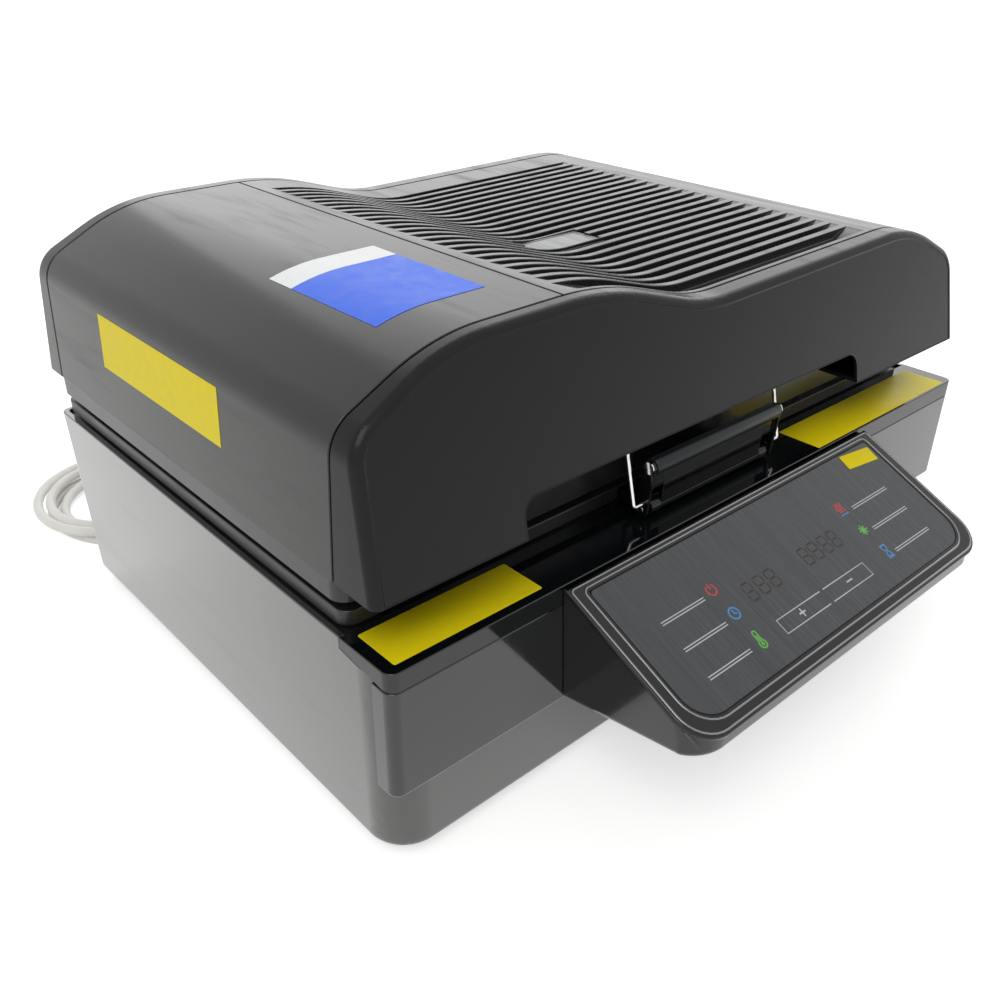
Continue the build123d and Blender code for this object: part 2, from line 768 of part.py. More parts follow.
insulation_margin = 6.0
with BuildPart() as insulation:
    add(plan_box(reflector_width - insulation_margin, reflector_length - insulation_margin, 3.0,
                 chamber_y, reflector_top_z + touch, reflector_top_z + insulation_thickness,
                 reflector_middle))
    with BuildSketch(Plane.XY.offset(reflector_top_z)):
        with Locations((fan_x, yy(chamber_y))):
            with GridLocations(1, 2 * fan_spread, 1, 2):
                Circle(fan_shaft_radius + 2.0)
    extrude(amount=2 * insulation_thickness, mode=Mode.SUBTRACT)
keep(insulation, "insulation")

holder_width = 14.0
holder_low_z = tube_z - 10.0
reflector_inner_z = reflector_top_z - reflector_sheet
holder_length = tube_count * tube_pitch - 14.0
tube_left = chamber_x - tube_length / 2
holder_stations = (tube_left + holder_width, tube_left + tube_length - holder_width)

with BuildPart() as tube_holders:
    for station in holder_stations:
        with BuildSketch(Plane.YZ.offset(station - holder_width / 2)):
            with Locations((yy(chamber_y), (holder_low_z + reflector_inner_z) / 2)):
                Rectangle(holder_length, reflector_inner_z - holder_low_z - touch)
            with Locations((yy(chamber_y), tube_z)):
                with GridLocations(tube_pitch, 1, tube_count, 1):
                    Circle(tube_radius + touch, mode=Mode.SUBTRACT)
        extrude(amount=holder_width)
keep(tube_holders, "tube_holders")

with BuildPart() as heating_tubes:
    with BuildSketch(Plane.YZ.offset(tube_left)):
        with Locations((yy(chamber_y), tube_z)):
            with GridLocations(tube_pitch, 1, tube_count, 1):
                Circle(tube_radius)
    extrude(amount=tube_length)
keep(heating_tubes, "heating_tubes")

grille_top_z = tray_top_z - tray_sheet - touch
slot_pitch = 14.0
slot_columns = 38
slot_rows = 5
slot_length = 54.0
with BuildPart() as guard_grille:
    with BuildSketch(Plane.XY.offset(grille_top_z - grille_sheet)):
        with Locations((reflector_middle, yy(chamber_y))):
            RectangleRounded(reflector_width + 2 * flange_out, reflector_length + 2 * flange_out, 6.0)
            with GridLocations(slot_pitch, slot_length + 8.0, slot_columns, slot_rows):
                Rectangle(8.0, slot_length, mode=Mode.SUBTRACT)
    extrude(amount=grille_sheet)
keep(guard_grille, "guard_grille")

with BuildPart() as thermocouple:
    with BuildSketch(Plane.XY.offset(holder_low_z + 2.0)):
        with Locations((fan_x + 62.0, yy(chamber_y))):
            Circle(2.0)
    extrude(amount=reflector_inner_z - touch - holder_low_z - 2.0)
keep(thermocouple, "thermocouple")

motor_low_z = reflector_top_z + insulation_thickness + touch
with BuildPart() as circulation_fan_motors:
    with BuildSketch(Plane.XY.offset(motor_low_z)):
        with Locations((fan_x, yy(chamber_y))):
            with GridLocations(1, 2 * fan_spread, 1, 2):
                Circle(fan_motor_radius)
                Circle(fan_shaft_radius + running, mode=Mode.SUBTRACT)
    extrude(amount=fan_motor_height)
    with BuildSketch(Plane.XY.offset(motor_low_z)):
        with Locations((fan_x, yy(chamber_y))):
            with GridLocations(1, 2 * fan_spread, 1, 2):
                RectangleRounded(2 * fan_motor_radius + 26.0, 18.0, 6.0)
                Circle(fan_shaft_radius + running, mode=Mode.SUBTRACT)
    extrude(amount=2.5)
keep(circulation_fan_motors, "circulation_fan_motors")

wheel_low_z = tray_top_z + 3.0
wheel_height = 22.0


def fan_wheel(y_middle):
    """A bladed wheel on its own shaft, which runs up into the motor."""
    with BuildPart() as wheel:
        with BuildSketch(Plane.XY.offset(wheel_low_z)):
            with Locations((fan_x, yy(y_middle))):
                Circle(fan_wheel_radius)
        extrude(amount=1.5)
        with BuildSketch(Plane.XY.offset(wheel_low_z)):
            with Locations((fan_x, yy(y_middle))):
                Circle(9.0)
                with PolarLocations(fan_wheel_radius / 2 + 3.0, fan_blades):
                    Rectangle(fan_wheel_radius - 10.0, 1.6)
        extrude(amount=wheel_height)
        with BuildSketch(Plane.XY.offset(wheel_low_z)):
            with Locations((fan_x, yy(y_middle))):
                Circle(fan_shaft_radius)
        extrude(amount=motor_low_z + fan_motor_height - 6.0 - wheel_low_z)
    return wheel


fan_wheel_front = fan_wheel(chamber_y - fan_spread)
keep(fan_wheel_front, "fan_wheel_front")
fan_wheel_rear = fan_wheel(chamber_y + fan_spread)
keep(fan_wheel_rear, "fan_wheel_rear")

with BuildPart() as lid_screws:
    with BuildSketch(Plane.XY.offset(tray_top_z - tray_sheet - touch - grille_sheet - screw_head_height)):
        with Locations((reflector_middle, yy(chamber_y))):
            with GridLocations((reflector_width + flange_out) / 3, reflector_length + flange_out, 4, 2):
                Circle(3.2)
    extrude(amount=screw_head_height)
keep(lid_screws, "lid_screws")

# ---------------------------------------------------------------- chamber in the base
inner_clear = tub_wall + fit
with BuildPart() as deck_plate:
    add(tub_block(inner_clear, deck_z - deck_sheet, deck_z))
    add(plan_box(2 * tub_width, ledge_depth + 60.0, 1.0, trim_front_y - 30.0 + ledge_depth / 2,
                 0.0, ledge_floor_z - 20.0), mode=Mode.SUBTRACT)
    add(plan_box(basin_width + 2 * basin_sheet + 2 * fit, basin_length + 2 * basin_sheet + 2 * fit,
                 basin_corner, chamber_y, 0.0, tall, chamber_x), mode=Mode.SUBTRACT)
keep(deck_plate, "deck_plate")

basin_rim_z = deck_z + touch + basin_sheet
basin_floor_z = basin_rim_z - basin_depth
port_x = chamber_x - basin_width / 2
port_z = basin_floor_z + platform_height / 2 + basin_sheet + 14.0
with BuildPart() as vacuum_tray:
    add(plan_box(basin_width + 2 * basin_flange, basin_length + 2 * basin_flange, basin_corner,
                 chamber_y, deck_z + touch, basin_rim_z, chamber_x))
    add(plan_box(basin_width + 2 * basin_sheet, basin_length + 2 * basin_sheet,
                 basin_corner, chamber_y, basin_floor_z, basin_rim_z, chamber_x))
    add(plan_box(basin_width, basin_length, basin_corner - basin_sheet, chamber_y,
                 basin_floor_z + basin_sheet, basin_rim_z + 1.0, chamber_x), mode=Mode.SUBTRACT)
    # welded suction spout
    with BuildSketch(Plane.YZ.offset(port_x)):
        with Locations((yy(pump_y), port_z)):
            Circle(hose_radius)
    extrude(amount=-basin_sheet - port_length)
    with BuildSketch(Plane.YZ.offset(port_x + 2 * basin_sheet)):
        with Locations((yy(pump_y), port_z)):
            Circle(hose_bore)
    extrude(amount=-2 * port_length, mode=Mode.SUBTRACT)
keep(vacuum_tray, "vacuum_tray")

platform_z = basin_floor_z + basin_sheet + platform_height
holes_across = int(basin_width / perforation_pitch) - 2
holes_along = int(basin_length / perforation_pitch) - 2
with BuildPart() as tray_platform:
    with BuildSketch(Plane.XY.offset(platform_z)):
        with Locations((chamber_x, yy(chamber_y))):
            RectangleRounded(basin_width - 6.0, basin_length - 6.0, basin_corner - 4.0)
            with GridLocations(perforation_pitch, perforation_pitch, holes_across, holes_along):
                Circle(3.0, mode=Mode.SUBTRACT)
    extrude(amount=platform_sheet)
    with BuildSketch(Plane.XY.offset(basin_floor_z + basin_sheet + touch)):
        with Locations((chamber_x, yy(chamber_y))):
            with GridLocations((basin_width - 50.0) / 2, basin_length - 50.0, 3, 2):
                Circle(6.0)
    extrude(amount=platform_height)
keep(tray_platform, "tray_platform")

seal_inner_x = basin_width + 6.0
seal_inner_y = basin_length + 6.0
membrane_z = frame_bottom_z + rebate_depth - touch - membrane_thickness
with BuildPart() as tray_seal:
    with BuildSketch(Plane.XY.offset(basin_rim_z + touch)):
        with Locations((chamber_x, yy(chamber_y))):
            RectangleRounded(seal_inner_x + 2 * seal_width, seal_inner_y + 2 * seal_width,
                             basin_corner + seal_width)
            RectangleRounded(seal_inner_x, seal_inner_y, basin_corner, mode=Mode.SUBTRACT)
    extrude(amount=membrane_z - fit - basin_rim_z - touch)
keep(tray_seal, "tray_seal")

# ---------------------------------------------------------------- membrane frame
frame_top_z = frame_bottom_z + frame_thickness
window_x = basin_width + 2 * window_margin
window_y = basin_length + 2 * window_margin
frame_middle = (frame_rear - frame_front) / 2
with BuildPart() as frame_ring:
    add(plan_box(2 * frame_half_width, frame_front + frame_rear, frame_corner, frame_middle,
                 frame_bottom_z, frame_top_z))
    add(plan_box(window_x, window_y, basin_corner, chamber_y, frame_bottom_z - 1.0,
                 frame_top_z + 1.0, chamber_x), mode=Mode.SUBTRACT)
    add(plan_box(window_x + 2 * rebate_margin, window_y + 2 * rebate_margin, basin_corner, chamber_y,
                 frame_bottom_z - 1.0, frame_bottom_z + rebate_depth, chamber_x), mode=Mode.SUBTRACT)
keep(frame_ring, "frame_ring")

membrane_reach = rebate_margin - 1.0
with BuildPart() as silicone_membrane:
    add(plan_box(window_x + 2 * membrane_reach, window_y + 2 * membrane_reach, basin_corner,
                 chamber_y, membrane_z, membrane_z + membrane_thickness, chamber_x))
keep(silicone_membrane, "silicone_membrane")

clamp_z = membrane_z - touch - clamp_thickness
with BuildPart() as membrane_clamp:
    add(plan_box(window_x + 2 * membrane_reach, window_y + 2 * membrane_reach, basin_corner,
                 chamber_y, clamp_z, clamp_z + clamp_thickness, chamber_x))
    add(plan_box(window_x, window_y, basin_corner, chamber_y, clamp_z - 1.0,
                 clamp_z + clamp_thickness + 1.0, chamber_x), mode=Mode.SUBTRACT)
    with BuildSketch(Plane.XY.offset(clamp_z - 1.0)):
        with Locations((chamber_x, yy(chamber_y))):
            with GridLocations((window_x + rebate_margin) / 3, window_y + rebate_margin, 4, 2):
                Circle(clamp_screw_radius + touch)
    extrude(amount=clamp_thickness + 2.0, mode=Mode.SUBTRACT)
keep(membrane_clamp, "membrane_clamp")

with BuildPart() as clamp_screws:
    with BuildSketch(Plane.XY.offset(clamp_z)):
        with Locations((chamber_x, yy(chamber_y))):
            with GridLocations((window_x + rebate_margin) / 3, window_y + rebate_margin, 4, 2):
                Circle(clamp_screw_radius)
    extrude(amount=clamp_thickness)
keep(clamp_screws, "clamp_screws")

# ---------------------------------------------------------------- hinges
axis_y = tub_rear_y + hinge_out
station_width = 2 * lug_width + 2 * arm_width + 3 * arm_gap
frame_arm_start = lug_width + arm_gap
lid_arm_start = frame_arm_start + arm_width + arm_gap


def hinge_outline(points, bore):
    """A flat link in YZ that ends in a knuckle round the hinge axis."""
    with BuildSketch() as outline:
        with BuildLine():
            Polyline(*[(yy(y), z) for y, z in points], close=True)
        make_face()
        with Locations((yy(axis_y), hinge_z)):
            Circle(knuckle_radius)
            Circle(bore, mode=Mode.SUBTRACT)
    return outline.sketch_local


def wall_y(z):
    """Y of the tub's rear wall at a height."""
    return tub_rear_y - rear_lean * (rim_z - z) / (rim_z - foot_height)


plate_low = rim_z - 45.0
plate_high = rim_z - 5.0
plate_thickness = 5.0
pin_bore = hinge_pin_radius + running
with BuildPart() as hinge_brackets:
    for station in (-hinge_x, hinge_x):
        left = station - station_width / 2
        with BuildSketch(Plane.YZ.offset(left)):
            with BuildLine():
                Polyline(
                    (yy(wall_y(plate_low) + touch), plate_low),
                    (yy(wall_y(plate_low) + plate_thickness), plate_low),
                    (yy(wall_y(plate_high) + plate_thickness), plate_high),
                    (yy(wall_y(plate_high) + touch), plate_high),
                    close=True,
                )
            make_face()
        extrude(amount=station_width)
        for start in (left, left + station_width - lug_width):
            with BuildSketch(Plane.YZ.offset(start)):
                add(hinge_outline(
                    [(wall_y(plate_low) + 1.0, plate_low + 5.0),
                     (wall_y(plate_high) + 1.0, plate_high),
                     (axis_y - knuckle_radius, hinge_z), (axis_y + knuckle_radius, hinge_z)],
                    pin_bore))
            extrude(amount=lug_width)
keep(hinge_brackets, "hinge_brackets")

with BuildPart() as hinge_pins:
    for station in (-hinge_x, hinge_x):
        with BuildSketch(Plane.YZ.offset(station - station_width / 2 - 2.0)):
            with Locations((yy(axis_y), hinge_z)):
                Circle(hinge_pin_radius)
        extrude(amount=station_width + 4.0)
keep(hinge_pins, "hinge_pins")

arm_sheet = 3.0
with BuildPart() as frame_hinge_arms:
    for station in (-hinge_x, hinge_x):
        with BuildSketch(Plane.YZ.offset(station - station_width / 2 + frame_arm_start)):
            add(hinge_outline(
                [(frame_rear - 32.0, frame_top_z + touch), (frame_rear - 32.0, frame_top_z + arm_sheet),
                 (axis_y, hinge_z + knuckle_radius), (axis_y, hinge_z - knuckle_radius + 2.0),
                 (frame_rear + fit, frame_bottom_z + 4.0), (frame_rear + fit, frame_top_z + touch)],
                pin_bore))
        extrude(amount=arm_width)
keep(frame_hinge_arms, "frame_hinge_arms")

with BuildPart() as lid_hinge_arms:
    for station in (-hinge_x, hinge_x):
        with BuildSketch(Plane.YZ.offset(station - station_width / 2 + lid_arm_start)):
            add(hinge_outline(
                [(tray_rear + touch, tray_bottom_z + 1.0), (tray_rear + touch, lid_bottom_z - 1.5),
                 (tray_rear + 6.0, lid_bottom_z - 1.5), (axis_y + 5.6, hinge_z + 5.6),
                 (axis_y - 5.6, hinge_z - 5.6 + 1.0)],
                pin_bore))
        extrude(amount=arm_width)
keep(lid_hinge_arms, "lid_hinge_arms")

# ---------------------------------------------------------------- latch
latch_bore = latch_pin_radius + running
with BuildPart() as latch_bracket:
    for start in (latch_x - latch_bracket_inner - latch_bracket_width, latch_x + latch_bracket_inner):
        with BuildSketch(Plane.YZ.offset(start)):
            with BuildLine():
                Polyline(
                    (yy(-frame_front - touch), frame_bottom_z + 1.0),
                    (yy(-frame_front - touch), frame_top_z - 1.0),
                    (yy(-latch_axis_front), latch_axis_z + latch_barrel_radius),
                    (yy(-latch_axis_front), latch_axis_z - latch_barrel_radius),
                    close=True,
                )
            make_face()
            with Locations((yy(-latch_axis_front), latch_axis_z)):
                Circle(latch_barrel_radius)
                Circle(latch_bore, mode=Mode.SUBTRACT)
        extrude(amount=latch_bracket_width)
    with BuildSketch(Plane.YZ.offset(latch_x - latch_bracket_inner)):
        with Locations((yy(-frame_front - touch - 1.0), (frame_bottom_z + frame_top_z) / 2)):
            Rectangle(2.0, frame_thickness - 2.0)
    extrude(amount=2 * latch_bracket_inner)
keep(latch_bracket, "latch_bracket")

with BuildPart() as latch_pin:
    with BuildSketch(Plane.YZ.offset(latch_x - ear_offset - lever_sheet)):
        with Locations((yy(-latch_axis_front), latch_axis_z)):
            Circle(latch_pin_radius)
    extrude(amount=2 * (ear_offset + lever_sheet))
keep(latch_pin, "latch_pin")

lever_half = latch_bracket_inner - fit
grip_bore = 3.0
plate_end_z = grip_z - grip_radius - fit
ear_half = grip_radius - 1.5  # the ears end just inside the grip's outline
with BuildPart() as latch_lever:
    # barrel round the pin, and the plate that rises from it
    with BuildSketch(Plane.YZ.offset(latch_x - lever_half)):
        with Locations((yy(-latch_axis_front), latch_axis_z)):
            Circle(latch_barrel_radius - 0.5)
        with BuildLine():
            Polyline(
                (yy(-latch_axis_front - 5.0), latch_axis_z), (yy(-grip_front - 1.5), plate_end_z),
                (yy(-grip_front + 1.5), plate_end_z), (yy(-latch_axis_front - 2.0), latch_axis_z),
                close=True,
            )
        make_face()
        with Locations((yy(-latch_axis_front), latch_axis_z)):
            Circle(latch_bore, mode=Mode.SUBTRACT)
    extrude(amount=2 * lever_half)
    # web that carries the ears, above the frame's knuckles
    with BuildSketch(Plane.YZ.offset(latch_x - ear_offset - lever_sheet)):
        with BuildLine():
            Polyline(
                (yy(-grip_front - 0.6), plate_end_z - 12.0), (yy(-grip_front - 1.5), plate_end_z),
                (yy(-grip_front + 1.5), plate_end_z), (yy(-grip_front + 2.4), plate_end_z - 12.0),
                close=True,
            )
        make_face()
    extrude(amount=2 * (ear_offset + lever_sheet))
    for start in (latch_x - ear_offset - lever_sheet, latch_x + ear_offset):
        with BuildSketch(Plane.YZ.offset(start)):
            with BuildLine():
                Polyline(
                    (yy(-latch_axis_front - 6.0), latch_axis_z), (yy(-grip_front - ear_half), grip_z),
                    (yy(-grip_front + ear_half), grip_z), (yy(-latch_axis_front + 6.0), latch_axis_z),
                    close=True,
                )
            make_face()
            with Locations((yy(-latch_axis_front), latch_axis_z)):
                Circle(latch_barrel_radius)
            with Locations((yy(-grip_front), grip_z)):
                Circle(ear_half)
                Circle(grip_bore + touch, mode=Mode.SUBTRACT)
            with Locations((yy(-latch_axis_front), latch_axis_z)):
                Circle(latch_bore, mode=Mode.SUBTRACT)
            with Locations((yy(-bail_pivot_front), bail_pivot_z)):
                Circle(bail_wire_radius + running, mode=Mode.SUBTRACT)
        extrude(amount=lever_sheet)
keep(latch_lever, "latch_lever")

grip_half = ear_offset - touch
with BuildPart() as latch_grip:
    with BuildSketch(Plane.YZ.offset(latch_x - grip_half)):
        with Locations((yy(-grip_front), grip_z)):
            Circle(grip_radius)
            Circle(grip_bore + touch, mode=Mode.SUBTRACT)
    extrude(amount=2 * grip_half)
keep(latch_grip, "latch_grip")

with BuildPart() as grip_screws:
    for side in (-1, 1):
        with BuildSketch(Plane.YZ.offset(latch_x + side * (ear_offset + lever_sheet + touch))):
            with Locations((yy(-grip_front), grip_z)):
                Circle(grip_bore + 1.5)
        extrude(amount=side * 1.2)
        with BuildSketch(Plane.YZ.offset(latch_x + side * (ear_offset - 14.0))):
            with Locations((yy(-grip_front), grip_z)):
                Circle(grip_bore)
        extrude(amount=side * (14.0 + lever_sheet + touch))
keep(grip_screws, "grip_screws")

bail_left = latch_x - bail_half_width - 2.0
bail_right = latch_x + bail_half_width + 2.0
bail_inner = ear_offset + fit
with BuildPart() as latch_bail:
    with BuildLine() as bail_route:
        FilletPolyline(
            (latch_x - bail_inner, yy(-bail_pivot_front), bail_pivot_z),
            (bail_left, yy(-bail_pivot_front), bail_pivot_z),
            (bail_left, yy(-bail_top_front), bail_top_z),
            (bail_right, yy(-bail_top_front), bail_top_z),
            (bail_right, yy(-bail_pivot_front), bail_pivot_z),
            (latch_x + bail_inner, yy(-bail_pivot_front), bail_pivot_z),
            radius=2.2,
        )
    with BuildSketch(Plane(origin=bail_route.line @ 0, z_dir=bail_route.line % 0)):
        Circle(bail_wire_radius)
    sweep()
keep(latch_bail, "latch_bail")

# ---------------------------------------------------------------- pump and electrics
floor_z = foot_height + tub_wall
mount_height = pump_axis_z - pump_radius - floor_z
pump_front_y = pump_y - pump_length / 2
with BuildPart() as pump_motor:
    with BuildSketch(xz_at(yy(pump_front_y))):
        with Locations((pump_x, pump_axis_z)):
            Circle(pump_radius)
    extrude(amount=-pump_length)
    fillet(pump_motor.edges().filter_by(GeomType.CIRCLE), 4.0)
keep(pump_motor, "pump_motor")

head_depth = 46.0
head_size = 84.0
with BuildPart() as pump_head:
    with BuildSketch(xz_at(yy(pump_front_y - touch))):
        with Locations((pump_x, pump_axis_z)):
            RectangleRounded(head_size, head_size, 10.0)
    extrude(amount=head_depth)
keep(pump_head, "pump_head")

with BuildPart() as pump_mounts:
    with BuildSketch(Plane.XY.offset(floor_z + touch)):
        with Locations((pump_x, yy(pump_y))):
            with GridLocations(50.0, pump_length - 30.0, 2, 2):
                Rectangle(22.0, 18.0)
    extrude(amount=mount_height + 12.0)
    with BuildSketch(xz_at(yy(pump_front_y))):
        with Locations((pump_x, pump_axis_z)):
            Circle(pump_radius + touch)
    extrude(amount=-pump_length, mode=Mode.SUBTRACT)
keep(pump_mounts, "pump_mounts")

hose_start_x = port_x - basin_sheet - port_length - touch
hose_end_y = pump_front_y - touch - head_depth / 2
hose_corner = 18.0
hose_run_x = hose_start_x - hose_corner - 4.0
with BuildPart() as suction_hose:
    with BuildLine() as hose_route:
        FilletPolyline(
            (hose_start_x, yy(pump_y), port_z),
            (hose_run_x, yy(pump_y), port_z),
            (hose_run_x, yy(hose_end_y - 34.0), port_z),
            (hose_run_x - 20.0, yy(hose_end_y - 64.0), port_z),
            (pump_x, yy(hose_end_y - 64.0), port_z),
            (pump_x, yy(pump_front_y - head_depth - 2 * touch), port_z),
            radius=[hose_corner, hose_corner, hose_corner, hose_corner],
        )
    with BuildSketch(Plane(origin=hose_route.line @ 0, z_dir=hose_route.line % 0)):
        Circle(hose_radius)
        Circle(hose_bore, mode=Mode.SUBTRACT)
    sweep()
keep(suction_hose, "suction_hose")

valve_x = pump_x + head_size / 2 + touch
with BuildPart() as release_valve:
    with BuildSketch(Plane.YZ.offset(valve_x)):
        with Locations((yy(pump_front_y - touch - head_depth / 2), pump_axis_z + 27.0)):
            Circle(9.0)
    extrude(amount=10.0)
    with BuildSketch(Plane.YZ.offset(valve_x + 10.0)):
        with Locations((yy(pump_front_y - touch - head_depth / 2), pump_axis_z + 27.0)):
            Circle(5.0)
    extrude(amount=12.0)
keep(release_valve, "release_valve")

board_z = floor_z + post_height + touch

with BuildPart() as control_board:
    with BuildSketch(Plane.XY.offset(board_z)):
        with Locations((board_x, yy(board_y))):
            Rectangle(board_width, board_length)
    extrude(amount=board_thickness)
keep(control_board, "control_board")

component_z = board_z + board_thickness + touch
fin_count = 7
fin_pitch = 7.6
sink_foot = 4.0
with BuildPart() as board_components:
    # power relay
    with Locations((board_x - 45.0, yy(board_y), component_z)):
        Box(32.0, 44.0, 26.0, align=(Align.CENTER, Align.CENTER, Align.MIN))
    # finned heat sink
    with BuildSketch(Plane.XY.offset(component_z)):
        with Locations((board_x + 10.0, yy(board_y))):
            Rectangle(48.0, 60.0)
    extrude(amount=sink_foot)
    with BuildSketch(Plane.XY.offset(component_z + sink_foot)):
        with Locations((board_x + 10.0, yy(board_y))):
            with GridLocations(fin_pitch, 1, fin_count, 1):
                Rectangle(2.0, 60.0)
    extrude(amount=24.0)
    # terminal block with its screw wells
    with BuildSketch(Plane.XY.offset(component_z)):
        with Locations((board_x + 55.0, yy(board_y))):
            Rectangle(18.0, 76.0)
    extrude(amount=16.0)
    with BuildSketch(Plane.XY.offset(component_z + 16.0)):
        with Locations((board_x + 55.0, yy(board_y))):
            with GridLocations(1, 12.0, 1, 6):
                Circle(3.2)
    extrude(amount=-6.0, mode=Mode.SUBTRACT)
keep(board_components, "board_components")

# ---------------------------------------------------------------- cooling fan
fan_frame_top = -tub_wall - touch
fan_spot = (-cooling_fan_x, up_wall(cooling_fan_z))
hub_radius = 15.0
bearing_radius = 2.0
with BuildPart() as cooling_fan_frame:
    with BuildSketch(rear_plane.offset(fan_frame_top)):
        with Locations(fan_spot):
            RectangleRounded(cooling_fan_size, cooling_fan_size, 5.0)
            Circle(vent_radius, mode=Mode.SUBTRACT)
    extrude(amount=-cooling_fan_thickness)
    # spider that holds the bearing at the inner face
    with BuildSketch(rear_plane.offset(fan_frame_top - cooling_fan_thickness)):
        with Locations(fan_spot):
            Circle(hub_radius - 3.0)
            Rectangle(2 * vent_radius + 2.0, 5.0)
            Rectangle(5.0, 2 * vent_radius + 2.0)
            Circle(bearing_radius + running, mode=Mode.SUBTRACT)
    extrude(amount=3.0)
keep(cooling_fan_frame, "cooling_fan_frame")

rotor_back = fan_frame_top - cooling_fan_thickness + 3.5
rotor_depth = cooling_fan_thickness - 5.0
fan_hub_blades = 7
with BuildPart() as cooling_fan_rotor:
    with BuildSketch(rear_plane.offset(rotor_back)):
        with Locations(fan_spot):
            Circle(hub_radius)
            with PolarLocations((hub_radius + vent_radius - 1.0) / 2, fan_hub_blades):
                Rectangle(vent_radius - hub_radius - 0.5, 3.0)
    extrude(amount=rotor_depth)
    with BuildSketch(rear_plane.offset(rotor_back)):
        with Locations(fan_spot):
            Circle(bearing_radius)
    extrude(amount=-3.5)
keep(cooling_fan_rotor, "cooling_fan_rotor")

guard_rings = 4
with BuildPart() as fan_guard:
    with BuildSketch(rear_plane.offset(touch)):
        with Locations(fan_spot):
            Circle(vent_radius + 6.0)
            Circle(vent_radius - 1.0, mode=Mode.SUBTRACT)
            for ring in range(1, guard_rings):
                Circle(ring * vent_radius / guard_rings + 1.2)
                Circle(ring * vent_radius / guard_rings - 1.2, mode=Mode.SUBTRACT)
            Rectangle(2 * vent_radius, 3.0)
            Rectangle(3.0, 2 * vent_radius)
    extrude(amount=2.0)
keep(fan_guard, "fan_guard")

# ---------------------------------------------------------------- mains switch
switch_spot = (-switch_x, up_wall(switch_z))
switch_lip = 2.0
switch_bezel = 3.0
switch_body_depth = 24.0
rocker_half_width = switch_width / 2 - 4.0
rocker_pocket = switch_height / 2 - 2.5
rocker_sink = 9.0
rocker_pin_radius = 1.5
with BuildPart() as mains_switch_body:
    with BuildSketch(rear_plane.offset(touch)):
        with Locations(switch_spot):
            RectangleRounded(switch_width + 2 * switch_bezel, switch_height + 2 * switch_bezel, 2.0)
    extrude(amount=switch_lip)
    with BuildSketch(rear_plane.offset(touch)):
        with Locations(switch_spot):
            Rectangle(switch_width, switch_height)
    extrude(amount=-switch_body_depth)
    with BuildSketch(rear_plane.offset(switch_lip + touch)):
        with Locations(switch_spot):
            Rectangle(2 * rocker_half_width + 2 * fit, 2 * rocker_pocket)
    extrude(amount=-(switch_lip + rocker_sink + rocker_radius), mode=Mode.SUBTRACT)
    rocker_plane = Plane(
        origin=rear_plane.offset(-rocker_sink / 2).from_local_coords(Vector(*switch_spot, 0)),
        x_dir=(0, rear_plane.z_dir.Y, rear_plane.z_dir.Z),
        z_dir=(1, 0, 0),
    )
    with BuildSketch(rocker_plane.offset(-switch_width / 2 + 1.0)):
        Circle(rocker_pin_radius + running)
    extrude(amount=switch_width - 2.0, mode=Mode.SUBTRACT)
keep(mains_switch_body, "mains_switch_body")

rocker_reach = rocker_pocket - 0.6
with BuildPart() as mains_switch_rocker:
    with BuildSketch(rocker_plane.offset(-rocker_half_width)):
        with BuildLine():
            Polyline(
                (-6.0, rocker_reach * 0.55), (5.2, rocker_reach - 1.2), (8.4, rocker_reach - 1.6),
                (6.4, 0.0), (7.0, -rocker_reach + 1.6), (4.6, -rocker_reach + 1.2),
                (-6.0, -rocker_reach * 0.55), close=True,
            )
        make_face()
    extrude(amount=2 * rocker_half_width)
    with BuildSketch(rocker_plane.offset(-rocker_half_width - 2.0)):
        Circle(rocker_pin_radius)
    extrude(amount=2 * rocker_half_width + 4.0)
keep(mains_switch_rocker, "mains_switch_rocker")

# ---------------------------------------------------------------- cord
gland_spot = (-cord_exit_x, up_wall(cord_exit_z))
with BuildPart() as cable_gland:
    with BuildSketch(rear_plane.offset(touch)):
        with Locations(gland_spot):
            RegularPolygon(gland_radius + 4.0, 6)
    extrude(amount=5.0)
    with BuildSketch(rear_plane.offset(touch)):
        with Locations(gland_spot):
            Circle(gland_radius)
    extrude(amount=gland_length, taper=8)
    with BuildSketch(rear_plane.offset(touch)):
        with Locations(gland_spot):
            Circle(cord_hole_radius)
    extrude(amount=-tub_wall - 6.0)
    with BuildSketch(rear_plane.offset(-tub_wall - fit)):
        with Locations(gland_spot):
            Circle(cord_hole_radius + 4.0)
    extrude(amount=-4.0)
keep(cable_gland, "cable_gland")

lie_z = cord_radius + 0.1
cord_diameter = 2 * cord_radius
layer_rise = cord_diameter + coil_layer_gap
upper_z = lie_z + layer_rise
out_dir = rear_plane.z_dir
gland_end = rear_plane.offset(touch + gland_length).from_local_coords(Vector(*gland_spot, 0))
coil_start = Vector(coil_x + coil_radius, yy(coil_behind), upper_z)
cord_points = [
    gland_end,
    gland_end + out_dir * 22.0,
    Vector(cord_exit_x - 1.5, gland_end.Y + 47.0, upper_z + 4.5),
    Vector(coil_x + coil_radius, gland_end.Y + 72.0, upper_z),
    coil_start,
]


def arc_radii(points):
    """Largest arcs that the runs beside each corner of a route allow."""
    radii = []
    for before, corner, after in zip(points, points[1:], points[2:]):
        run_in = corner - before
        run_out = after - corner
        half_turn = math.radians(run_in.get_angle(run_out)) / 2
        shorter = min(run_in.length, run_out.length)
        radii.append(0.45 * shorter / math.tan(half_turn))
    return radii


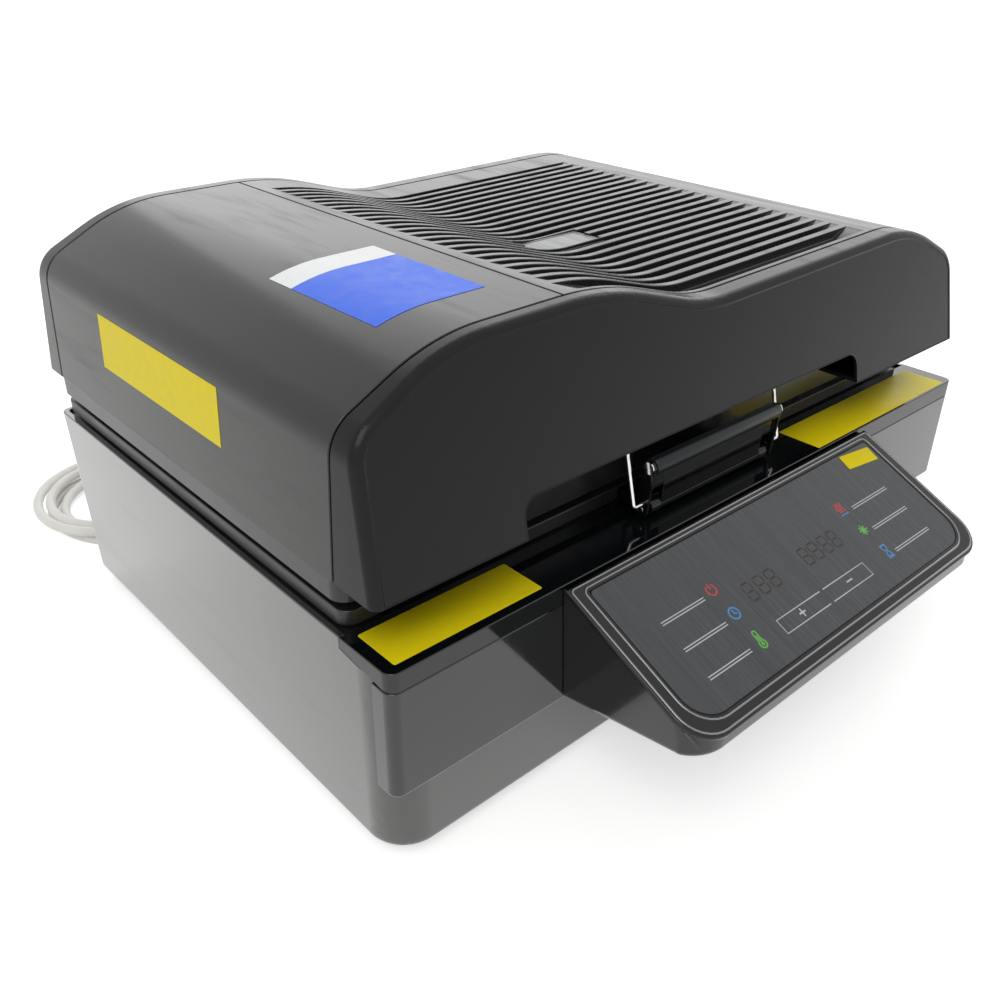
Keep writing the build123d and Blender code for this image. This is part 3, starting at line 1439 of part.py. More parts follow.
cord_radii = arc_radii(cord_points)
print("cord radii", [round(radius, 1) for radius in cord_radii])
with BuildPart() as mains_cord:
    with BuildLine() as cord_route:
        FilletPolyline(*cord_points, radius=cord_radii)
    with BuildSketch(Plane(origin=cord_route.line @ 0, z_dir=cord_route.line % 0)):
        Circle(cord_radius)
    sweep()
cord_run = cord_route.wire().length
cord_expected = math.pi * cord_radius**2 * cord_run
print("cord volume ratio", round(mains_cord.part.volume / cord_expected, 4))
keep(mains_cord, "mains_cord")


def coil_half_turns():
    """Half-turn arcs of the coil as (start, middle, end): in above, out below."""
    inward = 2 * coil_turns_per_layer
    step = coil_pitch / 2
    turns = [(coil_radius - index * step, 0.0) for index in range(inward)]
    turns.append((coil_radius - inward * step, -layer_rise))
    turns += [(coil_radius - index * step, 0.0) for index in range(inward - 1, 1, -1)]
    turns.append((coil_radius + coil_exit_step, coil_exit_rise))
    arcs = []
    point = coil_start
    heading = 1.0
    for radius, rise in turns:
        end = Vector(point.X - 2 * heading * radius, point.Y, point.Z + rise)
        middle = Vector(
            (point.X + end.X) / 2,
            point.Y + heading * math.hypot(2 * radius, rise) / 2,
            (point.Z + end.Z) / 2,
        )
        arcs.append((point, middle, end))
        point = end
        heading = -heading
    return arcs


coil_arcs = coil_half_turns()
coil_exit = coil_arcs[-1][2]
coil_lead = Vector(coil_exit.X, coil_exit.Y + cord_diameter, coil_exit.Z)
with BuildPart() as mains_cord_coil:
    with BuildLine() as coil_route:
        for start, middle, end in coil_arcs:
            ThreePointArc(start, middle, end)
        Line(coil_exit, coil_lead)
    with BuildSketch(Plane(origin=coil_start, z_dir=(0, 1, 0))):
        Circle(cord_radius)
    sweep()
coil_run = coil_route.wire().length
coil_expected = math.pi * cord_radius**2 * coil_run
print("coil volume ratio", round(mains_cord_coil.part.volume / coil_expected, 4))
print("cord length", round(cord_run + coil_run, 1))


def least_self_gap(arcs):
    """Least surface gap between neighbouring turns, measured on points."""
    spots = []
    for number, (start, middle, end) in enumerate(arcs):
        centre = (start + end) / 2
        for share in range(0, 36):
            angle = math.pi * share / 36
            spot = centre + (start - centre) * math.cos(angle) + (middle - centre) * math.sin(angle)
            spots.append((number * 36 + share, spot))
    least = 1e9
    for place, first in spots:
        for other, second in spots:
            if other - place > 24:
                least = min(least, (first - second).length)
    return least - cord_diameter


print("coil self gap", round(least_self_gap(coil_arcs), 2))
keep(mains_cord_coil, "mains_cord_coil")

pin_radius = 2.4
with BuildPart() as mains_plug:
    with BuildSketch(xz_at(coil_lead.Y + touch)):
        with Locations((coil_lead.X, coil_lead.Z)):
            Circle(cord_radius + 1.5)
    extrude(amount=-18.0)
    with BuildSketch(xz_at(coil_lead.Y + 18.0)):
        with Locations((coil_lead.X, coil_lead.Z)):
            RectangleRounded(2 * plug_radius, 2 * plug_radius - 6.0, 5.0)
    extrude(amount=-plug_length)
    with BuildSketch(xz_at(coil_lead.Y + 18.0 + plug_length)):
        with Locations((coil_lead.X, coil_lead.Z)):
            with GridLocations(12.7, 1, 2, 1):
                Rectangle(1.6, 6.4)
    extrude(amount=-17.0)
keep(mains_plug, "mains_plug")

# ---------------------------------------------------------------- overall box
stand_alone = [base_shell, front_panel, front_ledge, rubber_feet, control_box, control_bezel,
               lid_left_panel, lid_top_panel, lid_front_cap, lid_rear_cap, hinge_brackets,
               hinge_pins, frame_hinge_arms, lid_hinge_arms, fan_guard, mains_switch_body,
               mains_switch_rocker]
box = Compound([piece.part for piece in stand_alone]).bounding_box()
print("box", [round(v, 2) for v in (box.min.X, box.min.Y, box.min.Z, box.max.X, box.max.Y, box.max.Z)])
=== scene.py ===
import json
import logging
import math
from contextlib import contextmanager
from dataclasses import dataclass
from enum import Enum
from typing import Callable, Iterable, Iterator, Sequence

import bmesh
import bpy
from mathutils import Matrix, Vector

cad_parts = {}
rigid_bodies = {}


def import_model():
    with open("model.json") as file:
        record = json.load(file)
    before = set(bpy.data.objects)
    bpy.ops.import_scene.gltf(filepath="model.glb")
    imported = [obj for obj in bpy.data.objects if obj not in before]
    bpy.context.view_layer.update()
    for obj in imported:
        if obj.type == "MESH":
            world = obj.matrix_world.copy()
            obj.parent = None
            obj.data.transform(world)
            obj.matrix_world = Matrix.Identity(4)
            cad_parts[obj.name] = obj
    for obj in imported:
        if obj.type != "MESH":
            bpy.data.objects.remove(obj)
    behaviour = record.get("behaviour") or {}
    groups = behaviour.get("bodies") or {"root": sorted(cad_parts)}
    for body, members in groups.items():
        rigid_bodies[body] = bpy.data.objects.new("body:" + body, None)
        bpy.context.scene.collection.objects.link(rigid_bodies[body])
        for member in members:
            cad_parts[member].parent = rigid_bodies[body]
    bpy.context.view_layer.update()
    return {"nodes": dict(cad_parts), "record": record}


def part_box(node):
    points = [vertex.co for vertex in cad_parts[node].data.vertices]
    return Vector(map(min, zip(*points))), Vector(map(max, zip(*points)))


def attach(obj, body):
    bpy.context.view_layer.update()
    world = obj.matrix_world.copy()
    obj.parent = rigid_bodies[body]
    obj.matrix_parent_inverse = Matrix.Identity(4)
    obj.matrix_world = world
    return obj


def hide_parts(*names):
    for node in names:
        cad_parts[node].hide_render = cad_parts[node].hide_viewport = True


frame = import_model()
SLOTS = {part["node"]: part["material_slot"] for part in frame["record"]["subparts"]}

MM = 0.001
BASE_Y = 50.86  # the tub's middle, millimetres behind the origin
TILT = math.radians(25.0)  # slope of the control panel
PANEL_TOP = (0.0, -240.5, 167.0)  # the middle of its top line, millimetres from the tub's middle
NOSE_LEAN = math.radians(12.0)  # lean of the lid's front face
IMAGE_SIDE = 1000.0  # the picture is this many pixels across
SENSOR = 36.0  # the camera's sensor, in millimetres across
DOUBLED = 0.000004  # points nearer than this, in metres, are joined
FLAT = math.radians(0.3)  # facets flatter than this are joined
EASED = math.radians(34.0)  # a carried piece's edges sharper than this are eased
SHARP = 32.0  # and those sharper than this, in degrees, stay sharp in the shading
LABEL_CELLS = (36, 30)  # how finely a label pressed onto a surface is divided
LABEL_FILM = 0.22  # its thickness, in millimetres
LABEL_GAP = 0.04  # and the glue under it
OUTWARD = 0.9995  # least cosine between a flat face's normal and the way it should face

log = logging.getLogger("vacuum_press")
Piece = bpy.types.Object
Socket = bpy.types.NodeSocket
Pairs = tuple[tuple[float, float], ...]
Point = tuple[float, float, float]
Colour = tuple[float, float, float]


# ---------------------------------------------------------------- mesh tools
def deselect_all() -> None:
    """Leave nothing selected and no mesh in edit mode."""
    if bpy.context.mode != "OBJECT":
        bpy.ops.object.mode_set(mode="OBJECT")
    for thing in bpy.context.view_layer.objects:
        thing.select_set(False)


def take_up(piece: Piece) -> None:
    """Make one piece the only selected and active one."""
    deselect_all()
    piece.select_set(True)
    bpy.context.view_layer.objects.active = piece


@contextmanager
def editing(piece: Piece) -> Iterator[None]:
    """Hold a piece in edit mode, with nothing selected at first."""
    take_up(piece)
    bpy.ops.object.mode_set(mode="EDIT")
    bpy.ops.mesh.select_all(action="DESELECT")
    try:
        yield
    finally:
        bpy.ops.object.mode_set(mode="OBJECT")


def pick_faces(piece: Piece, wanted: Callable[[bmesh.types.BMFace], bool]) -> None:
    """Select the faces of the open mesh that pass a test.

    Args:
        piece: the object in edit mode.
        wanted: the test.
    """
    bpy.context.tool_settings.mesh_select_mode = (False, False, True)
    bpy.ops.mesh.select_all(action="DESELECT")
    shape = bmesh.from_edit_mesh(piece.data)
    shape.normal_update()
    for face in shape.faces:
        if wanted(face):
            face.select_set(True)
    shape.select_flush_mode()
    bmesh.update_edit_mesh(piece.data)


def pull_up(height: float) -> None:
    """Draw the selected faces of the open mesh up by some metres."""
    bpy.ops.mesh.extrude_region_move(TRANSFORM_OT_translate={"value": (0.0, 0.0, height)})


def face_outwards() -> None:
    """Turn every face of the open mesh outwards."""
    bpy.ops.mesh.select_all(action="SELECT")
    bpy.ops.mesh.normals_make_consistent(inside=False)


def settle(piece: Piece) -> Piece:
    """Apply a piece's place, turn and scale to its mesh, so its object sits at the origin."""
    take_up(piece)
    bpy.ops.object.transform_apply(location=True, rotation=True, scale=True)
    return piece


def finish_with(piece: Piece, kind: str, **settings: object) -> None:
    """Add one modifier to a piece and apply it.

    Args:
        piece: the mesh object.
        kind: the modifier's type.
        **settings: the modifier's values.
    """
    take_up(piece)
    step = piece.modifiers.new(kind.lower(), kind)
    for name, value in settings.items():
        setattr(step, name, value)
    bpy.ops.object.modifier_apply(modifier=step.name)


def smooth(piece: Piece, degrees: float) -> Piece:
    """Shade a piece smooth, but for edges sharper than an angle."""
    take_up(piece)
    bpy.ops.object.shade_smooth_by_angle(angle=math.radians(degrees))
    return piece


def named(piece: Piece, name: str) -> Piece:
    """Give a piece and its mesh their name."""
    piece.name = name
    piece.data.name = name
    return piece


def added(name: str, data: bpy.types.ID) -> Piece:
    """Put a new object in the scene, to show some data."""
    made = bpy.data.objects.new(name, data)
    bpy.context.scene.collection.objects.link(made)
    return made


def packed_copy(node: str, name: str, flatten: bool) -> Piece:
    """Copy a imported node's mesh as a new piece, with its doubled points joined.

    Args:
        node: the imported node.
        name: the piece's name.
        flatten: whether facets that lie flat to each other are joined too.

    Returns:
        The piece.
    """
    piece = named(added(name, frame["nodes"][node].data.copy()), name)
    with editing(piece):
        bpy.ops.mesh.select_all(action="SELECT")
        bpy.ops.mesh.remove_doubles(threshold=DOUBLED)
        if flatten:
            bpy.ops.mesh.dissolve_limited(angle_limit=FLAT)
    return piece


# ---------------------------------------------------------------- materials
class Tree:
    """A node tree, laid out node by node."""

    def __init__(self, owner: bpy.types.Material | bpy.types.World) -> None:
        """Empty the owner's node tree."""
        owner.use_nodes = True
        self.tree = owner.node_tree
        self.tree.nodes.clear()

    def node(self, kind: str, inputs: dict | None = None, **settings: object) -> bpy.types.Node:
        """Add a node.

        Args:
            kind: the node's type.
            inputs: values of its input sockets, by name or number.
            **settings: its own settings.

        Returns:
            The new node.
        """
        made = self.tree.nodes.new(kind)
        for name, value in settings.items():
            setattr(made, name, value)
        for name, value in (inputs or {}).items():
            made.inputs[name].default_value = value
        return made

    def link(self, out: Socket, into: Socket) -> None:
        """Join two sockets."""
        self.tree.links.new(out, into)

    def maths(self, operation: str, first: Socket,
              second: Socket | float) -> Socket:
        """One value from two.

        Args:
            operation: the sum to do.
            first: the first value's socket.
            second: the second value, or its socket.

        Returns:
            The result's socket.
        """
        made = self.node("ShaderNodeMath", operation=operation)
        self.link(first, made.inputs[0])
        if isinstance(second, float):
            made.inputs[1].default_value = second
        else:
            self.link(second, made.inputs[1])
        return made.outputs["Value"]

    def seen_by(self, *rays: str) -> Socket:
        """1 for the named kinds of ray, and 0 for the rest."""
        path = self.node("ShaderNodeLightPath")
        share = path.outputs[rays[0]]
        for ray in rays[1:]:
            share = self.maths("MAXIMUM", share, path.outputs[ray])
        return share


class Sheet(Tree):
    """A material's nodes, round one Principled shader."""

    def __init__(self, name: str) -> None:
        """Start a material with the shader at its output."""
        self.material = bpy.data.materials.new(name)
        super().__init__(self.material)
        output = self.node("ShaderNodeOutputMaterial")
        self.shader = self.node("ShaderNodeBsdfPrincipled")
        self.link(self.shader.outputs["BSDF"], output.inputs["Surface"])
        self.place = self.node("ShaderNodeTexCoord").outputs["Object"]

    def fix(self, values: dict[str, object]) -> None:
        """Set plain values on the shader, by input name."""
        for name, value in values.items():
            self.shader.inputs[name].default_value = value

    def stretched(self, scale: Point, turn: Point = (0.0, 0.0, 0.0)) -> Socket:
        """Object coordinates scaled and turned, for a grain that runs one way."""
        mapping = self.node("ShaderNodeMapping", {"Scale": scale, "Rotation": turn})
        self.link(self.place, mapping.inputs["Vector"])
        return mapping.outputs["Vector"]

    def noise(self, scale: float, detail: float = 2.0,
              place: Socket | None = None) -> Socket:
        """Soft noise over the surface; scale is in features per metre."""
        made = self.node("ShaderNodeTexNoise", {"Scale": scale, "Detail": detail})
        self.link(place or self.place, made.inputs["Vector"])
        return made.outputs["Fac"]

    def cells(self, scale: float) -> Socket:
        """Distance to the nearest of many scattered points."""
        made = self.node("ShaderNodeTexVoronoi", {"Scale": scale})
        self.link(self.place, made.inputs["Vector"])
        return made.outputs["Distance"]

    def band(self, source: Socket, low: float, high: float, start: float = 0.0,
             end: float = 1.0) -> Socket:
        """Map a value from one range to another, clamped."""
        made = self.node("ShaderNodeMapRange", {"From Min": low, "From Max": high, "To Min": start,
                                                "To Max": end})
        self.link(source, made.inputs["Value"])
        return made.outputs["Result"]

    def blend(self, share: Socket, first: Colour | Socket,
              second: Colour | Socket) -> Socket:
        """Mix two colours by a value.

        Args:
            share: 0 gives the first colour and 1 the second.
            first: a colour or a colour socket.
            second: a colour or a colour socket.

        Returns:
            The mixed colour's socket.
        """
        made = self.node("ShaderNodeMix", data_type="RGBA")
        self.link(share, made.inputs["Factor"])
        for socket, colour in ((made.inputs[6], first), (made.inputs[7], second)):
            if isinstance(colour, tuple):
                socket.default_value = (*colour, 1.0)
            else:
                self.link(colour, socket)
        return made.outputs[2]

    def colour(self, source: Socket) -> None:
        """Drive the base colour."""
        self.link(source, self.shader.inputs["Base Color"])

    def roughness(self, source: Socket) -> None:
        """Drive the roughness."""
        self.link(source, self.shader.inputs["Roughness"])

    def relief(self, *layers: tuple[Socket, float]) -> None:
        """Stack bump layers, each a height source and its depth in metres."""
        last = None
        for source, depth in layers:
            bump = self.node("ShaderNodeBump", {"Strength": 1.0, "Distance": depth})
            self.link(source, bump.inputs["Height"])
            if last:
                self.link(last, bump.inputs["Normal"])
            last = bump.outputs["Normal"]
        self.link(last, self.shader.inputs["Normal"])


def tinted(colour: Colour, factor: float) -> Colour:
    """A colour made lighter or darker by a factor."""
    return tuple(min(1.0, part * factor) for part in colour)


MADE: dict[str, bpy.types.Material] = {}  # each finish's material, once it is made


@dataclass(frozen=True)
class Finish:
    """Base of every finish: a name, a colour and how glossy it is."""

    name: str
    colour: Colour
    roughness: float = 0.4

    def build(self, sheet: Sheet) -> None:
        """Fill the material's node tree; each finish has its own."""
        raise NotImplementedError

    def shade(self, sheet: Sheet, source: Socket, darker: float, lighter: float) -> None:
        """Let a value vary the colour, from a darker factor of it to a lighter one."""
        sheet.colour(sheet.blend(source, tinted(self.colour, darker), tinted(self.colour, lighter)))

    def wear(self, sheet: Sheet, source: Socket, low: float, high: float, glossier: float,
             rougher: float) -> None:
        """Let a value, between low and high, vary the roughness by two factors of it."""
        sheet.roughness(sheet.band(source, low, high, self.roughness * glossier, self.roughness * rougher))

    def material(self) -> bpy.types.Material:
        """The finish's material, made once."""
        if self.name in MADE:
            return MADE[self.name]
        sheet = Sheet(f"{self.name}_finish")
        sheet.fix({"Base Color": (*self.colour, 1.0), "Roughness": self.roughness})
        self.build(sheet)
        MADE[self.name] = sheet.material
        return sheet.material


@dataclass(frozen=True)
class Moulding(Finish):
    """Injection-moulded plastic: orange peel, faint flow marks, handling scuffs and dust."""

    peel: float = 0.000012
    sway: float = 0.00006
    specular: float = 0.6
    coat: float = 0.0
    coat_ior: float = 1.5
    dust: float = 0.5  # how far a speck of dust covers the colour
    dust_colour: Colour = (0.35, 0.34, 0.32)
    hair_way: Point = (1.0, 0.12, 1.0)  # stretch of the fine scuffs
    hair_turn: Point = (0.2, 0.1, 0.5)

    def build(self, sheet: Sheet) -> None:
        """Peel and sway go to the relief, scuffs to the gloss, dust to both."""
        sheet.fix({"Specular IOR Level": self.specular, "Coat Weight": self.coat, "Coat Roughness": 0.04,
                   "Coat IOR": self.coat_ior})
        flow = sheet.noise(9.0, 3.0)
        specks = sheet.band(sheet.cells(260.0), 0.045, 0.02)
        patch = sheet.band(sheet.noise(14.0, 2.0), 0.5, 0.62)
        dust = sheet.band(sheet.maths("MULTIPLY", specks, patch), 0.0, 1.0, 0.0, self.dust)
        body = sheet.blend(flow, tinted(self.colour, 0.85), tinted(self.colour, 1.2))
        sheet.colour(sheet.blend(dust, body, self.dust_colour))
        hair = sheet.noise(70.0, 4.0, sheet.stretched(self.hair_way, self.hair_turn))
        self.wear(sheet, hair, 0.52, 0.72, 1.0, 1.6)
        sheet.relief((sheet.noise(26.0, 1.0), self.sway), (sheet.noise(850.0, 1.5), self.peel))


@dataclass(frozen=True)
class BrushedFilm(Finish):
    """Printed control film with fine brushed streaks that run down the slope."""

    streak: float = 0.45
    specular: float = 0.65
    depth: float = 0.0000035

    def build(self, sheet: Sheet) -> None:
        """The streaks vary the colour a little and the gloss more."""
        sheet.fix({"Specular IOR Level": self.specular})
        fine = sheet.noise(1500.0, 3.0, sheet.stretched((1.0, 0.012, 0.012)))
        broad = sheet.noise(160.0, 3.0, sheet.stretched((1.0, 0.03, 0.03)))
        both = sheet.band(sheet.maths("MULTIPLY", fine, broad), 0.1, 0.45)
        self.shade(sheet, both, 1.0 - self.streak, 1.0 + self.streak)
        self.wear(sheet, fine, 0.3, 0.7, 0.8, 1.35)
        sheet.relief((fine, self.depth))


@dataclass(frozen=True)
class Mottled(Finish):
    """Base of paint, rubber and print: clouds in the colour and the gloss, over a fine grain."""

    specular: float = 0.35
    cloud: tuple[float, float] = (35.0, 4.0)  # scale and detail
    shades: tuple[float, float] = (0.86, 1.12)  # factors of the colour
    gloss: tuple[float, float, float, float] = (0.3, 0.7, 0.9, 1.15)  # range, factors of the roughness
    waves: float = 0.0  # depth of the slow waves, in metres
    grain: float = 0.00003  # depth of the grain
    grain_scale: float = 900.0

    def build(self, sheet: Sheet) -> None:
        """Clouds first, then waves and grain in the relief."""
        sheet.fix({"Specular IOR Level": self.specular})
        cloud = sheet.noise(*self.cloud)
        self.shade(sheet, cloud, *self.shades)
        self.wear(sheet, cloud, *self.gloss)
        layers = [(sheet.noise(45.0, 1.0), self.waves)] if self.waves else []
        sheet.relief(*layers, (sheet.noise(self.grain_scale, 2.0), self.grain))


@dataclass(frozen=True)
class PaintedSheet(Mottled):
    """Sprayed sheet metal: fine grain and rubbed patches."""

    specular: float = 0.5
    cloud: tuple[float, float] = (22.0, 5.0)
    shades: tuple[float, float] = (0.8, 1.35)
    gloss: tuple[float, float, float, float] = (0.35, 0.7, 0.85, 1.3)
    grain: float = 0.00002
    grain_scale: float = 1400.0


@dataclass(frozen=True)
class Rubber(Mottled):
    """Rubber, silicone or matt plastic: cloudy colour and fine pores."""


@dataclass(frozen=True)
class Printed(Mottled):
    """Ink or vinyl film: nearly even, with slight mottling and a shallow waviness."""

    specular: float = 0.4
    cloud: tuple[float, float] = (120.0, 3.0)
    shades: tuple[float, float] = (0.94, 1.05)
    gloss: tuple[float, float, float, float] = (0.3, 0.7, 0.85, 1.2)
    waves: float = 0.00002
    grain: float = 0.000004
    grain_scale: float = 1200.0


@dataclass(frozen=True)
class Metal(Finish):
    """Bare metal with a grain that runs one way."""

    grain_way: Point = (1.0, 0.03, 1.0)
    depth: float = 0.000008

    def build(self, sheet: Sheet) -> None:
        """Streaks vary the gloss, and blotches the colour."""
        sheet.fix({"Metallic": 1.0})
        streaks = sheet.noise(420.0, 4.0, sheet.stretched(self.grain_way))
        self.shade(sheet, sheet.noise(18.0, 4.0), 0.82, 1.08)
        self.wear(sheet, streaks, 0.3, 0.75, 0.7, 1.4)
        sheet.relief((streaks, self.depth))


@dataclass(frozen=True)
class Clear(Finish):
    """Frosted quartz or a translucent sheet."""

    passes: float = 1.0
    ior: float = 1.46
    depth: float = 0.00001

    def build(self, sheet: Sheet) -> None:
        """Mostly see-through, with cloudy patches."""
        sheet.fix({"Transmission Weight": self.passes, "IOR": self.ior})
        self.wear(sheet, sheet.noise(60.0, 4.0), 0.3, 0.7, 0.8, 1.3)
        sheet.relief((sheet.noise(500.0, 2.0), self.depth))


@dataclass(frozen=True)
class Wool(Finish):
    """Mineral wool: tangled fibres, matt and blotchy."""

    depth: float = 0.0006

    def build(self, sheet: Sheet) -> None:
        """Fibres from two stretched noises."""
        first = sheet.noise(300.0, 5.0, sheet.stretched((1.0, 0.2, 1.0), (0.0, 0.0, 0.6)))
        second = sheet.noise(260.0, 5.0, sheet.stretched((0.2, 1.0, 1.0), (0.0, 0.0, 0.4)))
        both = sheet.maths("MULTIPLY", first, second)
        self.shade(sheet, sheet.band(both, 0.12, 0.4), 0.6, 1.0)
        sheet.relief((both, self.depth))


@dataclass(frozen=True)
class Finishes:
    """Every finish on the machine, each named once."""

    shell: Finish = Moulding("shell_black", (0.018, 0.018, 0.0165), 0.16,
                             peel=0.000004, specular=0.5, coat=1.0, coat_ior=1.6)
    box: Finish = Moulding("box_black", (0.009, 0.0095, 0.0105), 0.11, peel=0.000003, specular=0.45, coat=0.4)
    front: Finish = Moulding("front_black", (0.011, 0.012, 0.012), 0.12,
                             peel=0.000004, specular=0.42, coat=0.65)
    ledge: Finish = Moulding("ledge_black", (0.0035, 0.0042, 0.005), 0.05, peel=0.000003, specular=0.6)
    bezel: Finish = Moulding("bezel_black", (0.005, 0.0055, 0.0065), 0.07, peel=0.000002, specular=0.42)
    # a lighter, more reflective copy of the bezel's plastic for its raised lines: painted highlight
    ridge_highlight: Finish = Moulding("bezel_edge_highlight", (0.012, 0.0125, 0.014), 0.09,
                             peel=0.000002, specular=1.0, coat=1.0, coat_ior=2.3)
    lid: Finish = Moulding("lid_black", (0.019, 0.0188, 0.018), 0.21,
                             peel=0.00001, sway=0.00003, specular=0.42)
    # the lid's own plastic, made darker and less glossy for the front cap: painted shade on its front face
    cap: Finish = Moulding("lid_cap_painted_shade", (0.009, 0.0095, 0.0095), 0.2,
                             peel=0.00001, sway=0.00004, specular=0.2)
    film: Finish = BrushedFilm("touch_film", (0.034, 0.038, 0.044), 0.28)
    board: Finish = Rubber("board_green", (0.02, 0.12, 0.05), 0.35, specular=0.5)
    display: Finish = Rubber("display_dark", (0.03, 0.026, 0.026), 0.3)
    feet: Finish = Rubber("rubber_black", (0.02, 0.02, 0.02), 0.8)
    screw: Finish = Metal("screw_steel", (0.62, 0.62, 0.6), 0.3)
    badge: Finish = Metal("badge_silver", (0.2, 0.205, 0.205), 0.36)
    tray: Finish = PaintedSheet("tray_paint", (0.014, 0.014, 0.015), 0.22)
    reflector: Finish = Metal("reflector_aluminium", (0.8, 0.8, 0.79), 0.25)
    wool: Finish = Wool("insulation_wool", (0.72, 0.68, 0.56), 0.95)
    quartz: Finish = Clear("quartz_glass", (0.9, 0.9, 0.9), 0.35)
    ceramic: Finish = Rubber("ceramic_white", (0.75, 0.73, 0.68), 0.5)
    grille: Finish = Metal("grille_steel", (0.5, 0.5, 0.49), 0.35)
    motor: Finish = PaintedSheet("motor_paint", (0.08, 0.08, 0.085), 0.45)
    wheel: Finish = Metal("wheel_aluminium", (0.72, 0.72, 0.73), 0.3)
    deck: Finish = PaintedSheet("deck_paint", (0.018, 0.018, 0.018), 0.35)
    basin: Finish = Metal("tray_steel", (0.62, 0.62, 0.63), 0.24)
    seal: Finish = Rubber("seal_silicone", (0.42, 0.05, 0.025), 0.5)
    frame: Finish = PaintedSheet("frame_paint", (0.016, 0.016, 0.016), 0.3)
    membrane: Finish = Clear("membrane_silicone", (0.8, 0.8, 0.76), 0.45, passes=0.55, ior=1.41)
    clamp: Finish = Metal("clamp_aluminium", (0.7, 0.7, 0.7), 0.3)
    hinge: Finish = PaintedSheet("hinge_paint", (0.02, 0.02, 0.02), 0.3)
    pin: Finish = Metal("pin_steel", (0.55, 0.55, 0.55), 0.22)
    latch: Finish = PaintedSheet("latch_black", (0.004, 0.0045, 0.005), 0.1, grain=0.000003, specular=0.3)
    grip: Finish = Rubber("grip_black", (0.009, 0.0105, 0.012), 0.36, specular=0.35)
    wire: Finish = Metal("wire_chrome", (0.78, 0.78, 0.77), 0.12)
    cast: Finish = Metal("pump_aluminium", (0.55, 0.55, 0.55), 0.42, grain_way=(1.0, 1.0, 1.0))
    hose: Finish = Rubber("hose_silicone", (0.7, 0.7, 0.68), 0.4)
    brass: Finish = Metal("valve_brass", (0.72, 0.5, 0.2), 0.28)
    fan: Finish = Rubber("fan_plastic", (0.018, 0.018, 0.018), 0.5)
    rocker: Finish = Rubber("rocker_red", (0.45, 0.02, 0.015), 0.28, specular=0.5)
    cord: Finish = Rubber("cord_cream", (0.97, 0.95, 0.87), 0.4)
    ink: Finish = Printed("panel_ink", (0.66, 0.67, 0.66), 0.4)
    ink_red: Finish = Printed("ink_red", (0.7, 0.06, 0.07), 0.4)
    ink_blue: Finish = Printed("ink_blue", (0.09, 0.32, 0.68), 0.4)
    ink_green: Finish = Printed("ink_green", (0.16, 0.56, 0.09), 0.4)
    unlit: Finish = Printed("unlit_segments", (0.05, 0.037, 0.034), 0.5, 0.26)
    # painted shadow: matt black for the line laid over the gap round the film
    gap_shadow: Finish = Rubber("film_gap_shadow", (0.004, 0.004, 0.004), 0.5, specular=0.2)
    label_yellow: Finish = Printed("label_yellow", (0.9, 0.73, 0.006), 0.4, 0.15)
    label_blue: Finish = Printed("label_blue", (0.04, 0.16, 0.92), 0.4, 0.22)
    label_white: Finish = Printed("label_white", (0.93, 0.94, 0.95), 0.4, 0.22)
    filament: Finish = Metal("filament_alloy", (0.3, 0.27, 0.25), 0.45)

    def by_slot(self) -> dict[str, Finish]:
        """Each finish under the record's slot name."""
        return {value.name: value for value in vars(self).values()}


FINISHES = Finishes()


# ---------------------------------------------------------------- bodies and places
class Body(Enum):
    """The bodies that pieces ride on."""

    BASE = "base"
    FRAME = "membrane_frame"
    LID = "lid"
    LEVER = "latch_lever"
    BAIL = "latch_bail"
    FRONT_WHEEL = "circulation_fan_front"
    REAR_WHEEL = "circulation_fan_rear"
    COOLING_FAN = "cooling_fan"
    ROCKER = "mains_rocker"


def coat(piece: Piece, finish: Finish) -> None:
    """Give a piece one material all over."""
    piece.data.materials.clear()
    piece.data.materials.append(finish.material())


def fit_out(piece: Piece, finish: Finish, body: Body, slot: str, *nodes: str) -> None:
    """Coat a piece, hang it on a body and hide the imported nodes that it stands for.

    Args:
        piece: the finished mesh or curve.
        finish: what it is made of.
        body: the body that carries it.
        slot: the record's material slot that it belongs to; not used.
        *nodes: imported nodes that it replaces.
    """
    coat(piece, finish)
    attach(piece, body.value)
    if nodes:
        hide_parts(*nodes)
    log.info("%s rides %s in %s", piece.name, body.value, finish.name)


def at(x: float, y: float, z: float) -> Vector:
    """A place in metres, from millimetres measured from the tub's middle."""
    return Vector((x * MM, (BASE_Y + y) * MM, z * MM))


def lay(piece: Piece, place: Matrix) -> Piece:
    """Move a piece modelled at the origin to its place, and apply the move."""
    piece.matrix_world = place
    return settle(piece)


def standing(place: Vector, axis: Point = (0.0, 0.0, 1.0)) -> Matrix:
    """A frame at a place in metres, whose Z runs along an axis."""
    return Matrix.Translation(place) @ Vector(axis).to_track_quat("Z", "Y").to_matrix().to_4x4()


def on_panel(x: float, v: float, lift: float, turn: float = 0.0) -> Matrix:
    """A frame on the sloping control panel.

    Args:
        x: millimetres to the right of the machine's middle.
        v: millimetres down the slope from its top line.
        lift: millimetres above the bezel's face.
        turn: turn in the panel's plane, in degrees.

    Returns:
        The frame, with its Y up the slope and its Z out of the panel.
    """
    across = Vector((1.0, 0.0, 0.0))
    up = Vector((0.0, math.cos(TILT), math.sin(TILT)))
    out = Vector((0.0, -math.sin(TILT), math.cos(TILT)))
    place = at(*PANEL_TOP) + (across * x - up * v + out * lift) * MM
    axes = Matrix((across, up, out)).transposed().to_4x4()
    return Matrix.Translation(place) @ axes @ Matrix.Rotation(math.radians(turn), 4, "Z")


